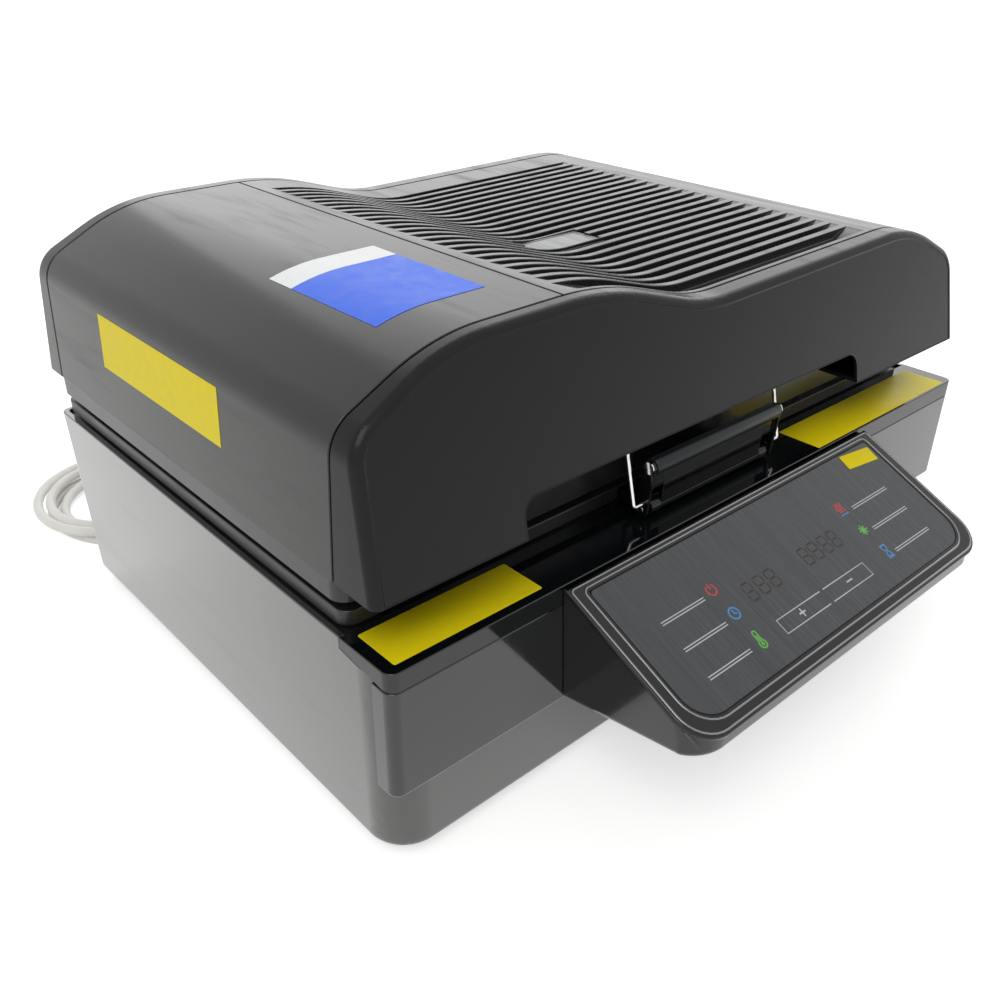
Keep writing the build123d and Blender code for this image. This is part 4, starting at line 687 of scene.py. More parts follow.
# ---------------------------------------------------------------- shapes
def turned(name: str, profile: Sequence[tuple[float, float]], place: Matrix, sides: int,
           crease: float = 40.0) -> Piece:
    """A round piece drawn up from a disc, ring by ring.

    Args:
        name: the piece's name.
        profile: radius and height of each ring in millimetres, from the first end.
        place: the frame whose Z is the piece's axis.
        sides: how many sides the round has.
        crease: edges sharper than this many degrees stay sharp.

    Returns:
        The piece, closed at both ends.
    """
    deselect_all()
    radius, level = profile[0]
    bpy.ops.mesh.primitive_circle_add(vertices=sides, radius=radius * MM, fill_type="NGON",
                                      location=(0.0, 0.0, level * MM))
    piece = settle(named(bpy.context.object, name))
    with editing(piece):
        bpy.ops.mesh.select_mode(type="FACE")
        bpy.ops.mesh.select_all(action="SELECT")
        for next_radius, next_level in profile[1:]:
            pull_up((next_level - level) * MM)
            grow = next_radius / radius
            bpy.ops.transform.resize(value=(grow, grow, 1.0), center_override=(0.0, 0.0, 0.0))
            radius, level = next_radius, next_level
        face_outwards()
    return smooth(lay(piece, place), crease)


def plate(name: str, size: tuple[float, float, float], corner: float, place: Matrix,
          edge: float, rounding: int = 5) -> Piece:
    """A plate with rounded corners and eased edges.

    Args:
        name: the piece's name.
        size: width, depth and thickness in millimetres.
        corner: corner radius in millimetres.
        place: the frame that it lies on, centred, with its thickness along Z.
        edge: how far its edges are eased, in millimetres.
        rounding: segments in each corner.

    Returns:
        The plate.
    """
    deselect_all()
    bpy.ops.mesh.primitive_plane_add(size=1.0, location=(0.0, 0.0, 0.0))
    piece = named(bpy.context.object, name)
    piece.scale = (size[0] * MM, size[1] * MM, 1.0)
    settle(piece)
    with editing(piece):
        bpy.ops.mesh.select_all(action="SELECT")
        bpy.ops.mesh.bevel(offset=corner * MM, segments=rounding, affect="VERTICES")
        bpy.ops.mesh.select_all(action="SELECT")
        pull_up(size[2] * MM)
        face_outwards()
    finish_with(piece, "BEVEL", width=edge * MM, segments=2, limit_method="ANGLE",
                angle_limit=math.radians(50), use_clamp_overlap=False)
    return smooth(lay(piece, place), 35.0)


def joined(name: str, pieces: Sequence[Piece]) -> Piece:
    """Join several meshes into one piece."""
    deselect_all()
    for piece in pieces:
        piece.select_set(True)
    bpy.context.view_layer.objects.active = pieces[0]
    bpy.ops.object.join()
    return named(bpy.context.object, name)


def copied(piece: Piece, shift: Vector) -> Piece:
    """A copy of a piece with its own mesh, moved."""
    take_up(piece)
    bpy.ops.object.duplicate(linked=False)
    made = bpy.context.object
    made.location = shift
    return settle(made)


def repeated(name: str, model: Piece, shifts: Iterable[Point]) -> Piece:
    """Copies of a model joined in one piece; the model itself goes.

    Args:
        name: the piece's name.
        model: what is copied.
        shifts: how far each copy is moved, in millimetres.

    Returns:
        The piece.
    """
    copies = [copied(model, Vector(shift) * MM) for shift in shifts]
    bpy.data.objects.remove(model)
    return joined(name, copies)


def wire(name: str, lines: Sequence[Sequence[Point]], thick: float, closed: bool,
         sides: int) -> Piece:
    """Round wire along one or more lines, as a mesh at the origin.

    Args:
        name: the piece's name.
        lines: points of each line in millimetres.
        thick: its diameter in millimetres.
        closed: whether each line is a ring.
        sides: how finely it is rounded.

    Returns:
        The mesh.
    """
    data = bpy.data.curves.new(name, "CURVE")
    data.dimensions = "3D"
    data.bevel_depth = thick * MM / 2
    data.bevel_resolution = sides
    data.use_fill_caps = True
    for line in lines:
        draw(data, "POLY", [[part * MM for part in point] for point in line]).use_cyclic_u = closed
    return smooth(meshed(name, data), 50.0)


def draw(data: bpy.types.Curve, kind: str, points: Sequence[Sequence[float]]) -> bpy.types.Spline:
    """Add one line to a curve.

    Args:
        data: the curve.
        kind: "POLY" or "NURBS".
        points: the line's points in metres.

    Returns:
        The line.
    """
    spline = data.splines.new(kind)
    spline.points.add(len(points) - 1)
    for slot, point in zip(spline.points, points):
        slot.co = (*point, 1.0)
    return spline


def meshed(name: str, data: bpy.types.Curve) -> Piece:
    """A curve turned into a mesh."""
    take_up(added(name, data))
    bpy.ops.object.convert(target="MESH")
    return named(bpy.context.object, name)


def arc(x: float, y: float, radius: float, start: float, end: float, steps: int = 14) -> list[Point]:
    """Points of an arc in a plane, angles in degrees from X."""
    angles = [math.radians(start + (end - start) * step / steps) for step in range(steps + 1)]
    return [(x + radius * math.cos(angle), y + radius * math.sin(angle), 0.0) for angle in angles]


def stroke(x: float, y: float, *ends: tuple[float, float]) -> list[Point]:
    """A line in a plane, its points given from a middle."""
    return [(x + across, y + up, 0.0) for across, up in ends]


def wrapped(name: str, low: Point, high: Point, along: str, target: Piece) -> Piece:
    """A film label that follows the surface under it.

    Args:
        name: the piece's name.
        low: its lowest corner in millimetres; the pressing axis gives its start.
        high: its highest corner.
        along: "X" pressed sideways onto a left wall, "Z" pressed down.
        target: the surface that it is stuck to.

    Returns:
        The label.
    """
    deselect_all()
    bpy.ops.mesh.primitive_grid_add(x_subdivisions=LABEL_CELLS[0], y_subdivisions=LABEL_CELLS[1], size=1.0)
    piece = named(bpy.context.object, name)
    middle = [(a + b) / 2 for a, b in zip(low, high)]
    span = [b - a for a, b in zip(low, high)]
    if along == "Z":
        piece.scale = (span[0] * MM, span[1] * MM, 1.0)
        piece.location = at(middle[0], middle[1], low[2])
    else:
        piece.rotation_euler = (0.0, math.radians(-90.0), 0.0)
        piece.scale = (span[2] * MM, span[1] * MM, 1.0)
        piece.location = at(low[0], middle[1], middle[2])
    settle(piece)
    finish_with(piece, "SHRINKWRAP", wrap_method="PROJECT", use_project_x=along == "X",
                use_project_y=False, use_project_z=along == "Z", use_negative_direction=along == "Z",
                use_positive_direction=along == "X", target=target, offset=LABEL_GAP * MM)
    finish_with(piece, "SOLIDIFY", thickness=LABEL_FILM * MM, offset=1.0)
    return smooth(piece, 40.0)


# ---------------------------------------------------------------- studio
@dataclass(frozen=True)
class Lamp:
    """One soft rectangular lamp."""

    name: str
    place: Point
    aim: Point  # the point that it faces
    size: tuple[float, float]
    power: float  # in watts

    def build(self) -> None:
        """Hang the lamp."""
        data = bpy.data.lights.new(self.name, "AREA")
        data.shape = "RECTANGLE"
        data.size, data.size_y = self.size
        data.energy = self.power
        made = added(self.name, data)
        made.location = self.place
        made.rotation_mode = "QUATERNION"
        made.rotation_quaternion = (Vector(self.aim) - Vector(self.place)).to_track_quat("-Z", "Y")


@dataclass
class Studio:
    """Camera at the photograph's place, soft lamps and a pale floor."""

    eye: Point = (-0.5807, -0.55284, 0.5363)
    yaw: float = 42.344
    pitch: float = 29.833
    roll: float = 0.736
    focal_pixels: float = 1006.76
    floor_side: float = 60.0
    floor_colour: Colour = (0.88, 0.88, 0.87)
    floor_glow: float = 0.56  # added where the camera or a reflection sees the floor
    ambient: float = 0.55  # the world's strength on surfaces; it is 1 where it is seen
    lamps: tuple[Lamp, ...] = (
        Lamp("key_lamp", (-1.6, -1.2, 2.4), (0.0, 0.0, 0.15), (1.6, 1.6), 20.0),
        Lamp("sheen_panel", (1.8, 1.68, 1.72), (0.0, 0.0, 0.25), (4.0, 2.5), 27.0),
    )

    def camera(self) -> None:
        """Place the camera: it looks across the machine from its front left."""
        yaw, pitch, roll = (math.radians(value) for value in (self.yaw, self.pitch, self.roll))
        look = Vector((math.sin(yaw) * math.cos(pitch), math.cos(yaw) * math.cos(pitch), -math.sin(pitch)))
        right = Vector((math.cos(yaw), -math.sin(yaw), 0.0))
        up = right.cross(look)
        turned_right = right * math.cos(roll) + up * math.sin(roll)
        turned_up = up * math.cos(roll) - right * math.sin(roll)
        axes = Matrix((turned_right, turned_up, -look)).transposed()
        data = bpy.data.cameras.new("camera")
        data.sensor_width = SENSOR
        data.lens = self.focal_pixels / IMAGE_SIDE * SENSOR
        made = added("camera", data)
        made.matrix_world = Matrix.Translation(Vector(self.eye)) @ axes.to_4x4()
        bpy.context.scene.camera = made
        bpy.context.scene.view_settings.view_transform = "Standard"

    def world(self) -> None:
        """White to camera and reflections, a moderate even light to everything else."""
        world = bpy.data.worlds.new("surround")
        bpy.context.scene.world = world
        tree = Tree(world)
        output = tree.node("ShaderNodeOutputWorld")
        shade = tree.node("ShaderNodeBackground", {"Color": (1.0, 1.0, 1.0, 1.0)})
        strength = tree.node("ShaderNodeMapRange", {"To Min": self.ambient, "To Max": 1.0})
        seen = tree.seen_by("Is Camera Ray", "Is Glossy Ray", "Is Transmission Ray")
        tree.link(seen, strength.inputs["Value"])
        tree.link(strength.outputs["Result"], shade.inputs["Strength"])
        tree.link(shade.outputs[0], output.inputs["Surface"])

    def floor(self) -> None:
        """A wide plane that takes the machine's shadow and shows white to the camera."""
        deselect_all()
        bpy.ops.mesh.primitive_plane_add(size=self.floor_side, location=(0, 0, 0))
        ground = named(bpy.context.object, "floor")
        material = bpy.data.materials.new("floor_pale")
        tree = Tree(material)
        output = tree.node("ShaderNodeOutputMaterial")
        matt = tree.node("ShaderNodeBsdfDiffuse", {"Color": (*self.floor_colour, 1.0)})
        glow = tree.node("ShaderNodeEmission")
        both = tree.node("ShaderNodeAddShader")
        share = tree.maths("MULTIPLY", tree.seen_by("Is Camera Ray", "Is Glossy Ray"), self.floor_glow)
        tree.link(share, glow.inputs["Strength"])
        tree.link(matt.outputs[0], both.inputs[0])
        tree.link(glow.outputs[0], both.inputs[1])
        tree.link(both.outputs[0], output.inputs["Surface"])
        ground.data.materials.append(material)

    def build(self) -> None:
        """Camera, world, floor and lamps."""
        self.camera()
        self.world()
        self.floor()
        for lamp in self.lamps:
            lamp.build()


# ---------------------------------------------------------------- mains cord
@dataclass
class MainsCord:
    """The cord from the gland to its plug, in a loose coil on the floor behind the machine."""

    diameter: float = 0.0095
    points: tuple[Point, ...] = (
        (-0.168, 0.30381, 0.02842),
        (-0.168, 0.32576, 0.02697),
        (-0.1695, 0.35081, 0.02085),
        (-0.17, 0.37581, 0.01635),
    )
    coil_start: Point = (-0.17, 0.38886, 0.01635)
    half_turns: Pairs = (
        (0.084, 0.0), (0.078, 0.0), (0.072, 0.0), (0.066, 0.0), (0.060, -0.0115),
        (0.066, 0.0), (0.072, 0.0), (0.098, 0.0064),
    )
    steps: int = 8  # points in a half turn
    lead: float = 0.0095
    total: float = 1.969

    def route(self) -> list[Vector]:
        """The spline's points: listed up to the coil, then by half turns."""
        line = [Vector(point) for point in self.points]
        start = Vector(self.coil_start)
        heading = 1.0
        swell = 1.0 / math.cos(math.pi / self.steps / 2)
        for radius, rise in self.half_turns:
            centre = start - Vector((heading * radius, 0.0, 0.0))
            for step in range(self.steps):
                angle = math.pi * step / self.steps
                line.append(Vector((
                    centre.x + heading * radius * swell * math.cos(angle),
                    centre.y + heading * radius * swell * math.sin(angle),
                    start.z + rise * (1 - math.cos(angle)) / 2,
                )))
            start = Vector((centre.x - heading * radius, start.y, start.z + rise))
            heading = -heading
        line.append(start)
        line.append(start + Vector((0.0, self.lead, 0.0)))
        return line

    def build(self) -> None:
        """Lay the sheath along the route."""
        data = bpy.data.curves.new("mains_lead", "CURVE")
        data.dimensions = "3D"
        data.bevel_depth = self.diameter / 2
        data.bevel_resolution = 6
        data.resolution_u = 6
        data.use_fill_caps = True
        spline = draw(data, "NURBS", self.route())
        spline.order_u = 3
        spline.use_endpoint_u = True
        lead = added("mains_lead", data)
        coat(lead, FINISHES.cord)
        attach(lead, "base")
        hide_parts("mains_cord", "mains_cord_coil")


# ---------------------------------------------------------------- carried pieces
@dataclass(frozen=True)
class Carried:
    """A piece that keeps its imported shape, with its edges eased as a moulding's or a folded sheet's are."""

    node: str
    name: str
    body: Body
    finish: Finish
    edge: float = 0.6  # how far its sharp edges are eased, in millimetres
    rings: int = 2

    def build(self) -> Piece:
        """Copy the node's mesh, join its facets, ease its edges and fit it out."""
        piece = packed_copy(self.node, self.name, flatten=True)
        self.shape(piece)
        take_up(piece)
        if piece.data.has_custom_normals:
            bpy.ops.mesh.customdata_custom_splitnormals_clear()
        smooth(piece, SHARP)
        if self.edge:
            finish_with(piece, "BEVEL", width=self.edge * MM, segments=self.rings, limit_method="ANGLE",
                        angle_limit=EASED, use_clamp_overlap=False)
        finish_with(piece, "WEIGHTED_NORMAL", keep_sharp=True)
        fit_out(piece, self.finish, self.body, SLOTS[self.node], self.node)
        return piece

    def shape(self, piece: Piece) -> None:
        """Detail that a piece gets before its edges are eased; most have none."""


@dataclass(frozen=True)
class Stepped(Carried):
    """A carried piece with a shallow step sunk into its flat faces, as at a moulding's rim."""

    facing: Point = (0.0, -math.cos(NOSE_LEAN), math.sin(NOSE_LEAN))  # the faces that get the step
    rim: float = 0.9  # width of the rim that is left, in millimetres
    sink: float = 0.7  # depth of the step
    least: float = 0.002  # faces smaller than this many square metres are left alone

    def shape(self, piece: Piece) -> None:
        """Inset the faces."""
        aim = Vector(self.facing).normalized()
        with editing(piece):
            pick_faces(piece, lambda f: f.normal.dot(aim) > OUTWARD and f.calc_area() > self.least)
            bpy.ops.mesh.inset(thickness=self.rim * MM, depth=-self.sink * MM, use_boundary=True,
                               use_even_offset=True)


# ---------------------------------------------------------------- base
@dataclass
class Base:
    """Moulded base with its front panel, ledge cover, feet, screws and film labels."""

    feet_x: float = 277.25
    feet_y: float = 184.0
    middle_y: float = 2.0
    screw_x: tuple[float, ...] = (-240.85, -80.28, 80.28, 240.85)
    foot: Pairs = (
        (3.4, 3.0), (3.8, 0.9), (4.6, 0.0), (12.6, 0.0), (13.6, 0.5), (14.0, 1.5), (13.7, 2.4), (13.1, 7.6),
        (12.9, 8.0),
    )
    screw: Pairs = (
        (1.1, 6.9), (1.5, 6.1), (1.6, 5.65), (2.6, 5.6), (3.5, 5.9), (4.0, 6.8), (4.0, 8.0),
    )
    label_rows: tuple[tuple[str, Point, Point], ...] = (
        ("ledge_label_left", (118.0, 37.0, 0.2), (-261.0, -211.3, 167.0)),
        ("ledge_label_right", (208.0, 39.0, 0.2), (211.0, -215.5, 167.0)),
    )  # name, size and middle
    shells: tuple[Carried, ...] = (
        Carried("base_shell", "base_tub", Body.BASE, FINISHES.shell, 0.7),
        Carried("front_panel", "base_front", Body.BASE, FINISHES.front, 0.7),
        Carried("front_ledge", "ledge_cover", Body.BASE, FINISHES.ledge, 0.6),
    )

    def standing_parts(self) -> None:
        """Four rubber feet and the screws under the tub, each modelled once and copied."""
        low = standing(at(0.0, self.middle_y, 0.0))
        feet = [(x, y, 0.0) for x in (-self.feet_x, self.feet_x) for y in (-self.feet_y, self.feet_y)]
        piece = repeated("bench_feet", turned("foot_model", self.foot, low, 36), feet)
        fit_out(piece, FINISHES.feet, Body.BASE, "rubber_black", "rubber_feet")
        screws = [(x, y, 0.0) for x in self.screw_x for y in (-self.feet_y, self.feet_y)]
        piece = repeated("base_screws", turned("screw_model", self.screw, low, 20), screws)
        fit_out(piece, FINISHES.screw, Body.BASE, "screw_steel", "case_screws")

    def labels(self) -> None:
        """Film labels stuck on the ledge in front of the lid."""
        for name, size, place in self.label_rows:
            label = plate(name, size, 1.5, standing(at(*place)), 0.06)
            fit_out(label, FINISHES.label_yellow, Body.BASE, "ledge_black")

    def build(self) -> None:
        """Shells first, then what is fixed to them."""
        for shell in self.shells:
            shell.build()
        self.standing_parts()
        self.labels()


# ---------------------------------------------------------------- control box
class Key(Enum):
    """The signs printed on the touch panel, by the place of each in millimetres across and down the slope."""

    POWER = (-95.9, 49.4)
    CLOCK = (-94.6, 71.0)
    HEAT = (-93.8, 94.0)
    FLOW = (66.1, 46.6)
    STAR = (67.8, 71.0)
    WAIT = (69.6, 94.0)
    PLUS = (-45.3, 95.9)
    MINUS = (14.1, 96.1)


@dataclass
class ControlBox:
    """Box with the sloping bezel, its touch film, printed signs and unlit digits."""

    sign_width: float = 1.3
    line_width: float = 0.8
    left_lines: tuple[float, float] = (-150.0, -106.0)
    right_lines: tuple[float, float] = (78.0, 127.5)
    line_rows: tuple[float, ...] = (51.0, 73.0, 96.2)
    film_low: tuple[float, float] = (-178.5, 118.5)
    film_high: tuple[float, float] = (154.0, 9.0)
    # width, offset and lift of the black line that paints the shadow of the gap round the film
    shadow_line_width: float = 1.3
    shadow_line_out: float = 0.3  # its middle line, outside the film's edge
    shadow_line_lift: float = -0.25
    ridge_width: float = 1.5
    ridge_lift: float = -0.12
    ridge_rows: tuple[tuple[float, ...], ...] = (
        (-189.6, 128.1, 165.1, 2.6, 24.2, 3.0),
        (-181.6, 121.6, 157.1, 5.8, 24.5, 5.0),
    )
    film_lift: float = -0.24  # the film's face over the bezel's
    keys_frame: tuple[float, float, float, float] = (-70.0, 38.5, 90.7, 102.2)
    frame_gap: float = 2.0  # half the gap in the middle of that frame
    frame_width: float = 0.9
    heat_line: tuple[float, float, float] = (61.4, 71.2, 53.2)
    heat_width: float = 1.1
    digit_width: float = 8.6
    digit_height: float = 14.0
    digit_x: tuple[float, ...] = (-69.0, -56.0, -43.0, -1.5, 10.5, 23.5, 35.5)
    digit_row: float = 64.6
    digit_line: float = 1.25
    digit_gaps: tuple[float, float] = (1.0, 0.9)  # at the ends of its level and its upright bars
    colon: tuple[float, float, float] = (16.6, 17.4, 2.8)  # its dots' ends, and half the way between them
    parts: tuple[Carried, ...] = (
        Carried("control_box", "panel_box", Body.BASE, FINISHES.box, 0.9, 3),
        Carried("control_bezel", "panel_bezel", Body.BASE, FINISHES.bezel, 0.7, 2),
        Carried("touch_panel", "panel_film", Body.BASE, FINISHES.film, 0.25, 2),
    )

    def sign(self, key: Key) -> list[list[Point]]:
        """Lines of one printed sign.

        Args:
            key: which sign.

        Returns:
            Its lines, in millimetres across and up the panel.
        """
        x, v = key.value
        y = -v
        if key is Key.POWER:
            return [arc(x, y, 4.2, 120.0, 420.0), stroke(x, y, (0.0, 0.6), (0.0, 5.2))]
        if key is Key.CLOCK:
            return [arc(x, y, 4.4, 0.0, 360.0, 20), stroke(x, y, (0.0, 2.9), (0.0, 0.0), (2.2, -1.2))]
        if key is Key.HEAT:
            tube = (arc(x, y - 4.2, 3.0, 130.0, 410.0, 16) + stroke(x, y, (1.7, -1.6))
                    + arc(x, y + 4.6, 1.7, 0.0, 180.0, 6) + stroke(x, y, (-1.7, -1.6)))
            return [tube, stroke(x, y, (0.0, -4.2), (0.0, 2.8)), arc(x, y - 4.2, 0.8, 0.0, 360.0, 8)]
        if key is Key.FLOW:
            wave = [(1.1 * math.sin(step * math.pi / 4.0), step * 0.75 - 4.6) for step in range(13)]
            return [stroke(x + side, y, *wave) for side in (-3.0, 0.0, 3.0)]
        if key is Key.STAR:
            rays = zip(range(0, 360, 45), (4.8, 4.4) * 4)
            return [[*arc(x, y, reach, turn, turn, 1)[:1], (x, y, 0.0)] for turn, reach in rays]
        if key is Key.WAIT:
            waist = ((2.9, 5.4), (2.6, 3.0), (0.6, 0.2), (2.6, -3.0), (2.9, -5.4))
            top, foot, sand = (stroke(x, y, (-wide, high), (wide, high))
                               for wide, high in ((3.4, 5.6), (3.4, -5.6), (1.6, -4.2)))
            mirrored = ((-wide, high) for wide, high in waist)
            return [top, foot, stroke(x, y, *mirrored), stroke(x, y, *waist), sand]
        if key is Key.PLUS:
            return [stroke(x, y, (-3.4, 0.0), (3.4, 0.0)), stroke(x, y, (0.0, -3.4), (0.0, 3.4))]
        return [stroke(x, y, (-3.6, 0.0), (3.6, 0.0))]

    @staticmethod
    def thin(line: Piece, squash: float, lift: float, finish: Finish, slot: str) -> None:
        """Flatten a line and lay it on the panel.

        Args:
            line: the line, modelled at the origin.
            squash: how much of its height is left.
            lift: its height over the bezel's face, in millimetres.
            finish: what it is made of.
            slot: the record's material slot that it belongs to.
        """
        line.scale = (1.0, 1.0, squash)
        settle(line)
        fit_out(lay(line, on_panel(0.0, 0.0, lift)), finish, Body.BASE, slot)

    def printed(self, name: str, lines: Sequence[Sequence[Point]], width: float, finish: Finish) -> None:
        """Print lines on the film as a thin layer of ink."""
        self.thin(wire(name, lines, width, False, 2), 0.1, self.film_lift, finish, "touch_film")

    def signs(self) -> None:
        """Signs, double lines beside them, and the frame round plus and minus."""
        inks = {"signs_red": (FINISHES.ink_red, (Key.POWER, Key.FLOW)),
                "signs_blue": (FINISHES.ink_blue, (Key.CLOCK, Key.WAIT)),
                "signs_green": (FINISHES.ink_green, (Key.HEAT, Key.STAR)),
                "signs_white": (FINISHES.ink, (Key.PLUS, Key.MINUS))}
        for name, (ink, keys) in inks.items():
            self.printed(name, [line for key in keys for line in self.sign(key)], self.sign_width, ink)
        left, right, row = self.heat_line
        self.printed("heat_line", [[(left, -row, 0.0), (right, -row, 0.0)]], self.heat_width,
                     FINISHES.ink_blue)
        pairs = [[(low, -row - drop, 0.0), (high, -row - drop, 0.0)]
                 for low, high in (self.left_lines, self.right_lines)
                 for row in self.line_rows for drop in (0.0, 2.0)]
        self.printed("panel_lines", pairs, self.line_width, FINISHES.ink)
        low, high, top, foot = self.keys_frame
        middle = (low + high) / 2
        halves = [[(start, -top, 0.0), (end, -top, 0.0), (end, -foot, 0.0), (start, -foot, 0.0)]
                  for start, end in ((middle - self.frame_gap, low), (middle + self.frame_gap, high))]
        self.printed("keys_frame", halves, self.frame_width, FINISHES.ink)

    @staticmethod
    def outline(x_low: float, v_low: float, x_high: float, v_high: float, corner: float,
                top: float) -> list[Point]:
        """A rounded rectangle on the panel.

        Args:
            x_low: its left side.
            v_low: its lower edge.
            x_high: its right side.
            v_high: its upper edge.
            corner: radius of the lower corners.
            top: radius of the upper corners.

        Returns:
            Its points.
        """
        return (arc(x_low + corner, -v_low + corner, corner, 180.0, 270.0, 8)
                + arc(x_high - corner, -v_low + corner, corner, 270.0, 360.0, 8)
                + arc(x_high - top, -v_high - top, top, 0.0, 90.0, 8)
                + arc(x_low + top, -v_high - top, top, 90.0, 180.0, 8))

    def digits(self) -> None:
        """Unlit figures behind the film: three for heat, four with a colon for time."""
        half_w, half_h = self.digit_width / 2, self.digit_height / 2
        lines: list[list[Point]] = []
        y = -self.digit_row
        across, upright = self.digit_gaps
        for x in self.digit_x:
            for level in (-half_h, 0.0, half_h):
                lines.append(stroke(x, y + level, (across - half_w, 0.0), (half_w - across, 0.0)))
            for side in (-half_w, half_w):
                for low, high in ((upright - half_h, -upright), (upright, half_h - upright)):
                    lines.append(stroke(x + side, y, (0.0, low), (0.0, high)))
        left, right, apart = self.colon
        lines.extend([(left, y + level, 0.0), (right, y + level, 0.0)] for level in (-apart, apart))
        self.printed("unlit_digits", lines, self.digit_line, FINISHES.unlit)

    def gap_shadow_line(self) -> None:
        """Matt black line laid over the gap round the film: painted shadow of the gap."""
        low, high = self.film_low, self.film_high
        out = self.shadow_line_out
        line = self.outline(low[0] - out, low[1] + out, high[0] + out, high[1] - out, 22.0, 4.0)
        gap_shadow = wire("film_gap_shadow", [line], self.shadow_line_width, True, 2)
        self.thin(gap_shadow, 0.4, self.shadow_line_lift, FINISHES.gap_shadow, "bezel_black")

    def ridges(self) -> None:
        """Two fine raised lines moulded round the bezel's face, in a lighter and more reflective copy of the
        bezel's plastic: painted highlight.
        """
        lines = [self.outline(*row) for row in self.ridge_rows]
        ridge_highlight = wire("bezel_ridges", lines, self.ridge_width, True, 3)
        self.thin(ridge_highlight, 0.55, self.ridge_lift, FINISHES.ridge_highlight, "bezel_black")

    def build(self) -> None:
        """Box, bezel and film, then everything printed on them."""
        for part in self.parts:
            part.build()
        self.ridges()
        self.gap_shadow_line()
        self.signs()
        self.digits()
        tag = plate("panel_tag", (38.2, 13.6, 0.18), 1.0, on_panel(131.4, 19.4, -0.1, -6.0), 0.05)
        fit_out(tag, FINISHES.label_yellow, Body.BASE, "bezel_black")


# ---------------------------------------------------------------- lid
@dataclass
class Lid:
    """Dome and ribbed deck between two caps, with their labels, badge and dark tray."""

    shells: tuple[Carried, ...] = (
        Carried("lid_left_panel", "lid_dome", Body.LID, FINISHES.lid, 0.6),
        Carried("lid_top_panel", "lid_ribs", Body.LID, FINISHES.lid, 0.6),
        # the front cap wears the darkened copy of the lid plastic: painted shade
        Stepped("lid_front_cap", "lid_nose", Body.LID, FINISHES.cap, 0.35),
        Carried("lid_rear_cap", "lid_back", Body.LID, FINISHES.lid, 0.7),
        Carried("lid_tray", "lid_pan", Body.LID, FINISHES.tray, 0.5),
    )
    label_rows: tuple[tuple[str, Point, Point, str, Finish], ...] = (
        ("dome_label", (-260.0, -143.0, 360.0), (-176.0, -51.1, 360.0), "Z", FINISHES.label_blue),
        ("dome_label_strip", (-260.0, -51.0, 360.0), (-176.0, -24.0, 360.0), "Z", FINISHES.label_white),
        ("wall_label", (-350.0, -63.0, 245.0), (-350.0, 114.0, 286.0), "X", FINISHES.label_yellow),
    )
    badge_rim: float = 1.6
    badge_sink: float = 0.4
    badge_draft: float = 0.99  # size of the sunk face's floor to its top
    lip_back: float = 4.0  # where the cap's inside is measured, in front of its seam edge
    lip_under: float = 3.5  # below the cap's outer face
    lip_foot: float = 224.6  # the web's lower edge
    lip_steps: int = 160
    lip_half: float = 0.6  # half the web's thickness
    lip_in: float = 2.2  # the web's middle, behind that edge
    lip_slope: float = 0.35  # faces steeper than this, by their normal's z, are left out

    def labels(self, dome: Piece) -> None:
        """Film labels: a blue one with a white strip on the dome, a yellow one on the left wall."""
        for name, low, high, along, finish in self.label_rows:
            fit_out(wrapped(name, low, high, along, dome), finish, Body.LID, "lid_black")

    def seam_lip(self, nose: Piece) -> None:
        """Dark web behind the front seam, so that no daylight comes through it.

        Args:
            nose: the front cap, whose inside the web follows.
        """
        low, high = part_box("lid_front_cap")
        along = high[1] - self.lip_back * MM
        outline = []
        for step in range(self.lip_steps + 1):
            across = low[0] + (high[0] - low[0]) * step / self.lip_steps
            hit, spot, normal, _ = nose.ray_cast(Vector((across, along, 1.0)), Vector((0.0, 0.0, -1.0)))
            if hit and normal.z > self.lip_slope:
                outline.append((spot.x, spot.z - self.lip_under * MM / normal.z))
        outline = [(outline[0][0], self.lip_foot * MM), *outline, (outline[-1][0], self.lip_foot * MM)]
        data = bpy.data.curves.new("seam_web", "CURVE")
        data.dimensions = "2D"
        data.fill_mode = "BOTH"
        data.extrude = self.lip_half * MM
        draw(data, "POLY", [(x, z, 0.0) for x, z in outline]).use_cyclic_u = True
        upright = Matrix(((1, 0, 0, 0), (0, 0, -1, high[1] - self.lip_in * MM), (0, 1, 0, 0), (0, 0, 0, 1)))
        web = smooth(lay(meshed("seam_web", data), upright), 30.0)
        fit_out(web, FINISHES.tray, Body.LID, "lid_black")

    def badge(self) -> None:
        """Bare silver plate with a raised rim on its pad among the ribs."""
        low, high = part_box("lid_badge")
        middle = (Vector(low) + Vector(high)) / 2
        middle.z = low[2]
        deep = (high[2] - low[2]) / MM
        face = plate("lid_plate", ((high[0] - low[0]) / MM, (high[1] - low[1]) / MM, deep), 2.0,
                     standing(middle), 0.3)
        with editing(face):
            pick_faces(face, lambda f: f.normal.z > 0.99 and f.calc_area() > 0.001)
            bpy.ops.mesh.inset(thickness=self.badge_rim * MM)
            pull_up(-self.badge_sink * MM)
            bpy.ops.transform.resize(value=(self.badge_draft, self.badge_draft, 1.0))
        fit_out(smooth(face, 30.0), FINISHES.badge, Body.LID, "badge_silver", "lid_badge")

    def build(self) -> None:
        """Shells, then labels pressed onto the dome, then the badge."""
        made = [shell.build() for shell in self.shells]
        self.labels(made[0])
        self.seam_lip(made[2])
        self.badge()


